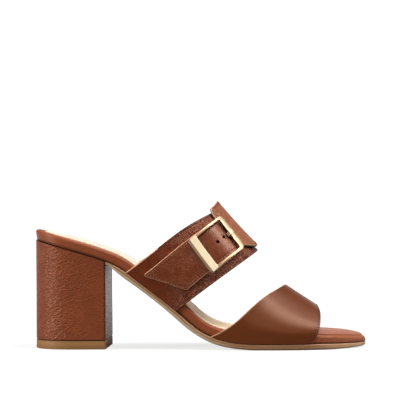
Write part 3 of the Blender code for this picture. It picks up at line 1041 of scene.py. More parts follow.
@dataclass
class SolePieces:
    """Outsole, wrapped footbed, sock and toe cover."""

    edge_roll: float = 2.0
    toe_roll: float = 0.9
    toe_roll_span: Span = (196.0, 222.0)
    wall_foot: float = 0.5
    wall_shares: tuple[float, ...] = (0.33, 0.66, 1.0)
    foot_dark: float = 0.8
    side_grain: float = 0.12
    toe_grain_span: Span = (185.0, 197.0)
    back_lean: float = 1.2
    back_lean_run: float = 22.0
    outsole_edge_rise: float = 1.5
    outsole_edge_inset: float = 1.6
    outsole_edge_share: float = 0.4
    outsole_edge_tone: float = 0.22
    outsole_rows: tuple[tuple[float, float], ...] = (
        (0.5, 0.0), (0.58, 0.0), (0.62, 0.16), (0.66, 0.0), (0.8, 0.0), (0.92, 0.0), (1.0, 0.25),
    )
    sock_thick: float = 0.9
    sock_inset: float = 2.6
    sock_back: float = 6.0
    sock_end: float = 172.0
    sock_roll: float = 0.35
    cover_steps: tuple[float, ...] = (2.0, 4.0, 7.0, 11.0, 16.0)
    cover_gap: float = 0.12
    toe_gap: float = 0.02
    toe_inset: float = 2.4
    toe_crown: float = 1.6
    toe_tip_run: float = 16.0
    toe_tip_thick: float = 0.37
    toe_crown_run: float = 20.0
    footbed_steps: int = 110
    outsole_steps: int = 120
    sock_steps: int = 90
    toe_steps: int = 50
    lid_points: int = 15

    def outline(self, x: Array, inset: Any, start: float, end: float) -> Outline:
        """Edge of a piece that follows the sole's own.

        Args:
            x: Stations along the shoe.
            inset: How far the edge lies inside the footbed's edge.
            start: Tip of the round back.
            end: Tip of the round toe.

        Returns:
            The edge.
        """
        outer, inner = SOLE.half_widths(x, inset, start, end)
        return Outline(x, outer, inner, np.linspace(0.0, 1.0, self.lid_points))

    def build_footbed(self) -> None:
        """Wrapped platform with a rolled edge, tucked in at the seam."""
        x = SOLE.stations(0.0, SHOE_LENGTH, self.footbed_steps, True, True)
        outline = self.outline(x, 0.0, 0.0, SHOE_LENGTH)

        def radius(px: Array) -> Array:
            """Radius of the upper edge, larger at the toe."""
            return self.edge_roll + self.toe_roll * within(px, self.toe_roll_span) ** 2

        def foot(rise: float) -> Height:
            """Height at a rise over the seam."""
            return lambda px, py: SOLE.read("seam", px) + rise

        def wall(share: float) -> Height:
            """Height at a share of the upright side."""
            return lambda px, py: SOLE.read("seam", px) + between(
                self.wall_foot, SOLE.read("wall", px) - radius(px), share)

        def roll(drop: float) -> Height:
            """Height at a drop below the upper face, as a share of the edge's radius."""
            return lambda px, py: SOLE.read("seam", px) + SOLE.read("wall", px) - drop * radius(px)

        def grain(px: Array, py: Array) -> Array:
            """Strength of the grain, full at the toe."""
            return between(self.side_grain, 1.0, within(px, self.toe_grain_span))

        # The tucked foot darkens as painted seam shade.
        loops = [Loop(self.wall_foot, foot(0.0), {"rim": 1.0})]
        for inset, drop in rolled(self.wall_foot, 4)[::-1][1:]:
            loops.append(Loop(inset, foot(drop), {"rim": self.foot_dark}))
        loops += [Loop(0.0, wall(share), {"grain": grain}) for share in self.wall_shares]
        wall_top = len(loops) - 1
        turn = radius(outline.ring[:, 0])
        for inset, drop in rolled(1.0, 8)[1:-1]:
            loops.append(Loop(inset * turn, roll(drop), {"grain": grain}))
        loops.append(Loop(turn, SOLE.top, {}))

        def lean(px: Array, number: int) -> Array:
            """Moves the lower lines at the back forwards."""
            back = 1.0 - within(px, (0.0, self.back_lean_run))
            return px + self.back_lean * back * (1.0 - min(1.0, number / wall_top))

        draft = make_pad(outline, loops, lean)
        settle(draft.finish("footbed_wrap", WRAP_BROWN.material()), Slot.WRAP, "footbed")

    def build_outsole(self) -> None:
        """Thin outsole with a rounded lower edge and a groove between its two tones."""
        x = SOLE.stations(HEEL_LENGTH + GAP, SHOE_LENGTH, self.outsole_steps, False, True)
        outline = self.outline(x, -SOLE.read("ledge", x), 0.0, SHOE_LENGTH)

        def thick(px: Array) -> Array:
            """Thickness of the outsole."""
            return SOLE.read("seam", px) - GAP - SOLE.read("ground", px)

        def at(share: float) -> Height:
            """Height at a share of the thickness."""
            return lambda px, py: SOLE.read("ground", px) + thick(px) * share

        def curve(share: float) -> Height:
            """Height at a share of the rounded lower edge, which is lower where the outsole is thin."""
            return lambda px, py: SOLE.read("ground", px) + share * np.minimum(
                self.outsole_edge_rise, thick(px) * self.outsole_edge_share)

        loops = [Loop(self.outsole_edge_inset, at(0.0), {"height": 0.0, "under": 1.0})]
        for turn in EDGE_TURNS:
            inset = self.outsole_edge_inset * (1.0 - math.sin(turn))
            tone = self.outsole_edge_tone * math.sin(turn)
            loops.append(Loop(inset, curve(1.0 - math.cos(turn)), {"height": tone}))
        loops += [Loop(inset, at(share), {"height": share}) for share, inset in self.outsole_rows]
        draft = make_pad(outline, loops)
        settle(draft.finish("outsole_shell", OUTSOLE_TAN.material()), Slot.OUTSOLE, "outsole")

    def cover(self, outline: Outline, thick: Height, gap: Height, value: str) -> MeshDraft:
        """Thin cover on the footbed with rolled edges.

        Args:
            outline: Edge of the cover.
            thick: Thickness at a place.
            gap: Gap under the cover at a place.
            value: Point value that marks the edge.

        Returns:
            Draft of the cover.
        """
        def high(drop: float) -> Height:
            """Height at a drop below the upper face."""
            return lambda px, py: SOLE.top(px, py) + gap(px, py) + thick(px, py) - drop

        loops = [Loop(0.0, lambda px, py: SOLE.top(px, py) + gap(px, py), {value: 1.0})]
        for inset, drop in rolled(self.sock_roll, 5):
            loops.append(Loop(inset, high(drop), {value: 1.0 - inset / self.sock_roll}))
        loops += [Loop(self.sock_roll * step, high(0.0), {}) for step in self.cover_steps]
        return make_pad(outline, loops)

    def build_sock(self) -> None:
        """Beige sock from the heel seat to under the vamp."""
        x = SOLE.stations(self.sock_back, self.sock_end, self.sock_steps, True, False)
        outline = self.outline(x, self.sock_inset, self.sock_back, SHOE_LENGTH)
        draft = self.cover(outline, even(self.sock_thick), even(self.cover_gap), "rim")
        settle(draft.finish("sock_lining_pad", BEIGE_SOCK.material()), Slot.SOCK, "sock_lining")

    def build_toe_cover(self) -> None:
        """Brown toe end of the sock, slightly crowned."""
        end = SHOE_LENGTH - self.toe_inset
        x = SOLE.stations(self.sock_end + GAP, end, self.toe_steps, False, True)
        outline = self.outline(x, self.sock_inset, 0.0, end)

        def tip(px: Array) -> Array:
            """Share of the way from the tip to where the cover is full."""
            return np.clip((end - px) / self.toe_tip_run, 0.0, 1.0)

        def thick(px: Array, py: Array) -> Array:
            """Thickness, crowned in the middle and thin at the tip."""
            fade = within(px, (self.sock_end, self.sock_end + self.toe_crown_run))
            crown = self.toe_crown * fade * dome(py, *SOLE.half_widths(px, self.sock_inset, 0.0, end))
            round_tip = np.sqrt(1.0 - (1.0 - tip(px)) ** 2)
            return between(self.toe_tip_thick, self.sock_thick + crown, round_tip)

        def gap(px: Array, py: Array) -> Array:
            """Gap under the cover, almost closed at the tip."""
            return self.toe_gap + self.cover_gap * tip(px)

        # The cover's edge is marked as cut and mixed lighter: a painted highlight along its rolled edge.
        draft = self.cover(outline, thick, gap, "cut")
        settle(draft.finish("toe_cover_pad", WRAP_BROWN.material()), Slot.WRAP, "toe_cover")

    def build(self) -> None:
        """Builds the four pieces."""
        self.build_outsole()
        self.build_footbed()
        self.build_sock()
        self.build_toe_cover()


@dataclass
class HeelPieces:
    """Covered block heel and its top lift."""

    half_width: float = 28.0
    lift_height: float = 5.8
    corner: float = 1.3
    edge_roll: float = 0.55
    lift_inset: float = 0.2
    lift_bevel: float = 0.35
    lift_ease: float = 0.105
    lift_tones: tuple[float, ...] = (0.0, 0.05, 0.1, 0.5, 0.92, 1.0)
    side_steps: int = 12
    wall_rows: int = 24
    wall_span: Span = (0.03, 0.97)
    breast_place: float = 0.25
    breast_reach: float = 0.45
    lid_points: int = 9

    def outline(self, inset: float) -> Outline:
        """D-shaped edge with small rounded corners at the breast.

        Args:
            inset: How far the sides lie inside the heel's own.

        Returns:
            The edge.
        """
        x = SOLE.stations(0.0, HEEL_LENGTH - self.corner, self.side_steps, True, False)
        x = np.concatenate([x, HEEL_LENGTH - self.corner + self.corner * np.sin(EDGE_TURNS)])
        half = (self.half_width - inset) * SOLE.end_share(x, 0.0, 2.0 * SHOE_LENGTH)
        past = np.clip(x - HEEL_LENGTH + self.corner, 0.0, self.corner)
        half = half - (self.corner - np.sqrt(np.maximum(0.0, self.corner ** 2 - past ** 2)))
        return Outline(x, half, half, np.linspace(0.0, 1.0, self.lid_points))

    def build_block(self) -> None:
        """Leather-covered block, its top cut to the footbed's seam."""
        foot = self.lift_height + GAP

        def level(share: float, rise: float) -> Height:
            """Height at a share of the block, and a rise over it."""
            return lambda px, py: between(foot, SOLE.read("seam", px) - GAP, share) + rise

        def breast_corner_shade(px: Array, py: Array) -> Array:
            """Painted shade down each corner of the breast."""
            line = hump(px, HEEL_LENGTH - self.corner * self.breast_place, self.corner * self.breast_reach)
            return line * (np.abs(py) > self.half_width - 2.0 * self.corner)

        # The rolled edges at the foot and top of the block darken as painted seam shade.
        def eased(inset: float, drop: float, share: float) -> Loop:
            """Line of the rolled edge at the foot, share 0, or the top, share 1."""
            rise = between(drop, -drop, share)
            return Loop(inset, level(share, rise), {"rim": 1.0 - drop / self.edge_roll})

        steps = rolled(self.edge_roll, 5)
        loops = [eased(inset, drop, 0.0) for inset, drop in steps[::-1]]
        for share in np.linspace(*self.wall_span, self.wall_rows):
            loops.append(Loop(0.0, level(share, 0.0), {"rim": breast_corner_shade}))
        loops += [eased(inset, drop, 1.0) for inset, drop in steps]
        draft = make_pad(self.outline(0.0), loops)
        settle(draft.finish("heel_cover", HEEL_BROWN.material()), Slot.HEEL, "heel_block")

    def build_lift(self) -> None:
        """Flat lift under the heel with a small bevel."""
        bevel, ease, high = self.lift_bevel, self.lift_ease, self.lift_height
        insets = (bevel, ease, 0.0, 0.0, 0.0, bevel)
        heights = (0.0, ease, bevel, high / 2.0, high - bevel, high)
        loops = []
        for inset, height, tone in zip(insets, heights, self.lift_tones):
            loops.append(Loop(inset, even(height), {"height": tone, "under": float(tone == 0.0)}))
        draft = make_pad(self.outline(self.lift_inset), loops)
        settle(draft.finish("top_lift_block", TOP_LIFT_TAN.material()), Slot.TOP_LIFT, "heel_top_lift")

    def build(self) -> None:
        """Builds both pieces."""
        self.build_block()
        self.build_lift()


class Arch(NamedTuple):
    """One edge of a strap: where it leaves the sole on each side, its crest, bow and sway."""

    outer_x: float
    inner_x: float
    crest_x: float
    crest_z: float
    bow: float
    sway: float


@dataclass(frozen=True)
class StrapSurface:
    """Inner face of a band over the foot, from the outer to the inner edge of the sole."""

    rear: Arch
    front: Arch
    crest_y: float
    leave: float
    inner_bow: float = 0.3
    step: float = 0.004

    def point(self, across: Any, along: Any) -> Array:
        """Points on the inner face.

        Args:
            across: 0 at the rear edge, 1 at the front edge.
            along: -1 at the outer edge of the sole, 0 at the crest, 1 at the inner edge.

        Returns:
            Points in millimetres.
        """
        across, along = np.broadcast_arrays(np.asarray(across, float), np.asarray(along, float))
        arch = Arch(*(between(a, b, across) for a, b in zip(self.rear, self.front)))
        outside = along < 0.0
        rise = np.sin((1.0 - np.abs(along)) * math.pi / 2.0)
        foot_x = np.where(outside, arch.outer_x, arch.inner_x)
        foot_z = SOLE.read("seam", foot_x)
        run, climb = arch.crest_x - foot_x, arch.crest_z - foot_z
        length = np.hypot(run, climb)
        bow = arch.bow * np.sin(math.pi * rise) - arch.sway * np.sin(2.0 * math.pi * rise)
        bow = bow * np.where(outside, 1.0, self.inner_bow)
        x = foot_x + run * rise - climb / length * bow
        z = foot_z + climb * rise + run / length * bow
        bend = np.maximum(0.0, (rise - self.leave) / (1.0 - self.leave))
        spread = np.sqrt(np.maximum(0.0, 1.0 - bend * bend))
        near = self.crest_y - (SOLE.read("outer", x) + GAP + self.crest_y) * spread
        far = self.crest_y + (SOLE.read("inner", x) + GAP - self.crest_y) * spread
        return np.stack([x, np.where(outside, near, far), z], axis=-1)

    def normal(self, across: Any, along: Any) -> Array:
        """Outward directions of the face."""
        across, along = np.broadcast_arrays(np.asarray(across, float), np.asarray(along, float))
        side = self.point(across + self.step, along) - self.point(across - self.step, along)
        ahead = self.point(across, np.minimum(1.0, along + self.step))
        behind = self.point(across, np.maximum(-1.0, along - self.step))
        return unit(np.cross(side, ahead - behind))

    def layer(self, across: Any, along: Any, level: Any) -> Array:
        """Points at a height over the inner face."""
        return self.point(across, along) + self.normal(across, along) * np.asarray(level, float)[..., None]


INSTEP = StrapSurface(
    rear=Arch(outer_x=64.0, inner_x=62.0, crest_x=124.6, crest_z=92.7, bow=2.0, sway=0.7),
    front=Arch(outer_x=98.0, inner_x=94.0, crest_x=151.6, crest_z=64.6, bow=0.3, sway=0.0),
    crest_y=4.0,
    leave=0.23,
)
VAMP = StrapSurface(
    rear=Arch(outer_x=121.5, inner_x=128.0, crest_x=171.0, crest_z=40.7, bow=0.4, sway=1.5),
    front=Arch(outer_x=188.4, inner_x=184.0, crest_x=192.6, crest_z=26.5, bow=-3.8, sway=0.0),
    crest_y=3.0,
    leave=0.25,
)

BAND_THICK = 1.8
BELT_THICK = 1.6
LAYER_TWO = BAND_THICK + GAP
FRAME_LEVEL = LAYER_TWO + BAND_THICK + GAP
FRAME_THICK = 1.6
PLATE_LEVEL = FRAME_LEVEL + FRAME_THICK + GAP
PLATE_THICK = 1.3
PRONG_THICK = 0.6
THREAD_SINK = 0.05


def along_of(rise: Any) -> Array:
    """Place along a band's outer side where it has risen by this share of its height."""
    return -(1.0 - np.arcsin(np.clip(rise, 0.0, 1.0)) * 2.0 / math.pi)


@dataclass
class Strap:
    """One leather strap on a band's surface, given by shares of its width and length."""

    surface: StrapSurface
    place: Place
    width: float
    length: float
    thick: float
    level: float
    edge_round: float = 0.4
    rows: int = 28
    columns: int = 110
    stitched: tuple[Edge, ...] = ()
    stitch_inset: float = 1.7
    trough: float = 0.10
    trough_reach: float = 0.5
    line_steps: tuple[float, ...] = (-0.7, -0.3, 0.0, 0.3, 0.7)
    rim_fade: float = 1.2
    path_points: int = 160
    corners: dict[tuple[Edge, Edge], float] = field(default_factory=dict)
    under_value: str = "under"
    edge_shade: float = 1.0
    shade: Height = even(0.0)
    cut_width: Height = even(0.0)
    lift: Height = even(0.0)
    grain: Height = even(1.0)

    def lines(self, size: float, count: int) -> Array:
        """Shares at which the strap has points, drawn together at its edges and stitch rows."""
        turns = np.radians(np.linspace(0.0, 90.0, 5))
        eased = self.edge_round * (1.0 - np.cos(turns))
        near = np.concatenate([eased, self.stitch_inset + np.array(self.line_steps)])
        inside = np.linspace(near[-1], size - near[-1], count)[1:-1]
        return np.concatenate([near, inside, size - near[::-1]]) / size

    def distance(self, edge: Edge, a: Array, b: Array) -> Array:
        """Distance in millimetres from one edge."""
        share = {Edge.REAR: a, Edge.FRONT: 1.0 - a, Edge.START: b, Edge.END: 1.0 - b}[edge]
        return share * (self.width if edge in LONG_EDGES else self.length)

    def rounded(self, a: Array, b: Array) -> tuple[Array, Array]:
        """Shares with the strap's corners drawn in to quarter circles.

        Args:
            a: Shares of the width.
            b: Shares of the length.

        Returns:
            New shares of width and length.
        """
        for (side, end), radius in self.corners.items():
            p = np.clip(1.0 - self.distance(side, a, b) / radius, 0.0, 1.0)
            q = np.clip(1.0 - self.distance(end, a, b) / radius, 0.0, 1.0)
            p_new = p * np.sqrt(1.0 - q * q / 2.0)
            q_new = q * np.sqrt(1.0 - p * p / 2.0)
            a_step = (p - p_new) * radius / self.width
            b_step = (q - q_new) * radius / self.length
            a = a + (a_step if side is Edge.REAR else -a_step)
            b = b + (b_step if end is Edge.START else -b_step)
        return a, b

    def at(self, a: Array, b: Array, height: Any) -> Array:
        """Points at shares of the width and length and a height over the strap's own level."""
        across, along = self.place(*self.rounded(a, b))
        return self.surface.layer(across, along, self.level + self.lift(a, b) + height)

    def draft(self) -> MeshDraft:
        """Closed strap with eased edges and a soft trough under each stitch row.

        Returns:
            Draft of the strap.
        """
        lines_a = self.lines(self.width, self.rows)
        lines_b = self.lines(self.length, self.columns)
        a, b = np.meshgrid(lines_a, lines_b, indexing="ij")
        edge = np.min([self.distance(side, a, b) for side in Edge], axis=0)
        off = self.edge_round - np.minimum(edge, self.edge_round)
        ease = self.edge_round - np.sqrt(np.maximum(0.0, self.edge_round ** 2 - off ** 2))
        groove = np.zeros(a.shape)
        for side in self.stitched:
            row = hump(self.distance(side, a, b), self.stitch_inset, self.trough_reach)
            groove = np.maximum(groove, self.trough * row)
        draft = MeshDraft()
        cut = (edge < self.cut_width(a, b) + ON_EDGE).astype(float)
        rim = np.exp(-edge / self.rim_fade)
        grain, shade = self.grain(a, b), self.shade(a, b)
        upper = self.at(a, b, self.thick - ease - groove)
        high = draft.points(upper, cut=cut, rim=rim, grain=grain, shade=shade)
        border = (edge < ON_EDGE).astype(float)
        # A buckle plate marks its whole lower face for painted crevice shade instead of a lining; the low
        # border takes painted shade at the foot of the sides.
        below = {self.under_value: np.ones(a.shape) if self.under_value == "crevice" else 1.0 - border}
        low = draft.points(self.at(a, b, ease), shade=border * self.edge_shade, grain=grain, **below)
        draft.quads(high)
        draft.quads(low, flip=True)
        top, bottom = (
            np.concatenate([net[:-1, 0], net[-1, :-1], net[:0:-1, -1], net[0, :0:-1]]) for net in (high, low))
        draft.quads(np.stack([bottom, top]), closed=True)
        return draft

    def stitch_path(self, places: Sequence[tuple[float, float]]) -> tuple[Array, Array]:
        """Line for a stitch row through places on the strap.

        Args:
            places: Corners of the row as shares of width and length.

        Returns:
            Points and outward directions along the row.
        """
        t = np.linspace(0.0, 1.0, self.path_points)
        corners = np.array(places)
        legs = zip(corners[:-1], corners[1:])
        a, b = np.concatenate([between(first, last, t[:, None]) for first, last in legs]).T
        outwards = self.surface.normal(*self.place(*self.rounded(a, b)))
        return self.at(a, b, self.thick - THREAD_SINK), outwards

    def edge_rows(self, ends: Span) -> list[tuple[Array, Array]]:
        """Stitch rows along the rear and the front edge, between two shares of the length."""
        line = self.stitch_inset / self.width
        return [self.stitch_path([(a, ends[0]), (a, ends[1])]) for a in (line, 1.0 - line)]


@dataclass
class StitchRows:
    """Rows of sewing thread, laid along paths by one node tree."""

    pitch: float = 2.1
    length: float = 1.05
    width: float = 0.75
    height: float = 0.40
    direction_name: str = "face_out"

    def tree(self) -> bpy.types.NodeTree:
        """Node tree that lays a stitch at every pitch of a path.

        Returns:
            The tree, with named inputs for its sizes.
        """
        tree = bpy.data.node_groups.new("stitch_rows", "GeometryNodeTree")
        face = tree.interface
        face.new_socket("Geometry", in_out="INPUT", socket_type="NodeSocketGeometry")
        for name in ("Pitch", "Stitch Length", "Stitch Width", "Stitch Height"):
            face.new_socket(name, in_out="INPUT", socket_type="NodeSocketFloat")
        face.new_socket("Thread", in_out="INPUT", socket_type="NodeSocketMaterial")
        face.new_socket("Geometry", in_out="OUTPUT", socket_type="NodeSocketGeometry")

        book = NodeBook(tree)
        given = tree.nodes.new("NodeGroupInput").outputs
        path = book.node("GeometryNodeMeshToCurve", {}, {"Mesh": given["Geometry"]})
        steps = {"Curve": path, "Length": given["Pitch"]}
        spaced = book.node("GeometryNodeResampleCurve", {"mode": "LENGTH"}, steps)
        ball = book.node("GeometryNodeMeshUVSphere", {}, {"Segments": 8, "Rings": 5, "Radius": 0.5})
        tangent = book.node("GeometryNodeInputTangent", {}, {})
        named = {"Name": self.direction_name}
        outwards = book.node("GeometryNodeInputNamedAttribute", {"data_type": "FLOAT_VECTOR"}, named)
        ahead = book.node("FunctionNodeAlignRotationToVector", {"axis": "X"}, {"Vector": tangent})
        turn = {"Rotation": ahead, "Vector": outwards}
        turned = book.node("FunctionNodeAlignRotationToVector", {"axis": "Z", "pivot_axis": "X"}, turn)
        sizes = {"X": given["Stitch Length"], "Y": given["Stitch Width"], "Z": given["Stitch Height"]}
        size = book.node("ShaderNodeCombineXYZ", {}, sizes)
        stitch = {"Points": spaced, "Instance": ball, "Rotation": turned, "Scale": size}
        laid = book.node("GeometryNodeInstanceOnPoints", {}, stitch)
        real = book.node("GeometryNodeRealizeInstances", {}, {"Geometry": laid})
        soft = book.node("GeometryNodeSetShadeSmooth", {}, {"Geometry": real})
        finish = {"Geometry": soft, "Material": given["Thread"]}
        dressed = book.node("GeometryNodeSetMaterial", {}, finish)
        out = tree.nodes.new("NodeGroupOutput")
        book.feed(out.inputs[0], dressed)
        return tree

    def build(self, name: str, rows: Sequence[tuple[Array, Array]], thread: ThreadFinish) -> bpy.types.Object:
        """Lays the stitches of several rows as one plain mesh.

        Args:
            name: Name of the piece.
            rows: Points and outward directions of each row.
            thread: Finish of the thread.

        Returns:
            The piece.
        """
        points = np.concatenate([row[0] for row in rows])
        outwards = np.concatenate([row[1] for row in rows])
        edges, first = [], 0
        for row, _ in rows:
            edges += [(first + i, first + i + 1) for i in range(len(row) - 1)]
            first += len(row)
        path = bpy.data.meshes.new(name + "_path")
        path.from_pydata(to_frame(points).tolist(), edges, [])
        layer = path.attributes.new(self.direction_name, "FLOAT_VECTOR", "POINT")
        layer.data.foreach_set("vector", outwards.astype(np.float32).reshape(-1))
        carrier = add_object(name + "_path", path)
        tree = self.tree()
        laid = carrier.modifiers.new("stitches", "NODES")
        laid.node_group = tree
        sizes = {
            "Pitch": self.pitch * MM, "Stitch Length": self.length * MM, "Stitch Width": self.width * MM,
            "Stitch Height": self.height * MM, "Thread": thread.material(),
        }
        for item in tree.interface.items_tree:
            if item.in_out == "INPUT" and item.name in sizes:
                laid[item.identifier] = sizes[item.name]
        mesh = baked(carrier)
        bpy.data.objects.remove(carrier)
        mesh.name = name
        return add_object(name, mesh)


@dataclass
class VampBand:
    """Smooth band over the toes, stitched along its front edge."""

    width: float = 44.0
    length: float = 150.0
    stitch_inset: float = 1.5
    front_bulge: float = 0.034
    front_middle: float = 0.29
    front_reach: float = 0.20
    front_dip: float = 0.012
    dip_reach: float = 0.10
    rear_bulge: float = 0.026
    rear_middle: float = 0.25
    rear_reach: float = 0.35
    rear_cut: float = 0.55
    rear_cut_run: float = 0.6
    front_cut: float = 0.2
    front_cut_from: float = 0.99
    row_ends: Span = (0.015, 0.985)

    def place(self, a: Array, b: Array) -> tuple[Array, Array]:
        """Place on the surface; both edges bulge at the sides and the front one dips at the crest.

        Args:
            a: Shares of the width.
            b: Shares of the length.

        Returns:
            Shares across and along the surface.
        """
        along = between(-1.0, 1.0, b)
        bulge = self.front_bulge * hump(np.abs(along), self.front_middle, self.front_reach)
        dip = self.front_dip * hump(along, 0.0, self.dip_reach)
        rear = self.rear_bulge * hump(np.abs(along), self.rear_middle, self.rear_reach)
        inside = np.clip(a, 0.0, 1.0)
        return a + (bulge - dip) * inside ** 3 - rear * (1.0 - inside) ** 3, along

    def cut_width(self, a: Array, b: Array) -> Array:
        """Width of the pale cut edge, wider at the rear than at the front."""
        rear = np.where(a * self.width < self.rear_cut_run, self.rear_cut, 0.0)
        return rear + np.where(a > self.front_cut_from, self.front_cut, 0.0)

    def build(self) -> None:
        """Builds the leather and its stitch row."""
        strap = Strap(
            surface=VAMP, place=self.place, width=self.width, length=self.length,
            thick=BAND_THICK, level=0.0, edge_round=0.5, rows=36, columns=140,
            stitched=(Edge.FRONT,), stitch_inset=self.stitch_inset, edge_shade=0.0, cut_width=self.cut_width,
        )
        settle(strap.draft().finish("vamp_leather", SMOOTH_BROWN.material()), Slot.SMOOTH, "vamp_band")
        front = strap.edge_rows(self.row_ends)[1:]
        settle(StitchRows(length=1.2, width=0.95).build("vamp_stitches", front, RED_THREAD), Slot.SMOOTH)


class Side(NamedTuple):
    """Place on the outer side of the instep band: share across it and share of its rise."""

    across: float
    rise: float


class Patch(NamedTuple):
    """Four-sided patch on the outer side of the instep band, given by its corners."""

    low_rear: Side
    low_front: Side
    high_rear: Side
    high_front: Side

    def place(self, a: Array, b: Array) -> tuple[Array, Array]:
        """Place on the band of shares of the patch's width and length.

        Args:
            a: Shares of the width.
            b: Shares of the length.

        Returns:
            Shares across and along the band.
        """
        start = along_of(between(self.low_rear.rise, self.low_front.rise, a))
        end = along_of(between(self.high_rear.rise, self.high_front.rise, a))
        low = between(self.low_rear.across, self.low_front.across, a)
        high = between(self.high_rear.across, self.high_front.across, a)
        return between(low, high, b), between(start, end, b)


class TopLine(NamedTuple):
    """One line across the upper layer of the instep band."""

    share: float
    rear_across: float
    front_across: float
    rear_along: float
    front_along: float
    rear_lift: float
    front_lift: float


TOP_LINES = (
    TopLine(0.00, 0.17, 0.78, -0.275, -0.268, 0.0, 0.0),
    TopLine(0.08, 0.075, 0.86, -0.262, -0.190, 0.0, 0.7),
    TopLine(0.145, -0.035, 0.92, -0.241, -0.129, 0.7, 1.15),
    TopLine(0.165, -0.058, 0.935, -0.232, -0.110, 0.9, 1.3),
    TopLine(0.20, -0.075, 0.93, -0.183, -0.085, 1.1, 1.1),
    TopLine(0.32, -0.13, 0.91, 0.0, 0.0, 1.6, 0.6),
    TopLine(0.44, -0.04, 0.92, 0.16, 0.16, 0.9, 0.2),
    TopLine(0.60, 0.03, 0.94, 0.40, 0.40, 0.3, 0.0),
    TopLine(1.00, 0.03, 0.97, 0.97, 0.97, 0.0, 0.0),
)


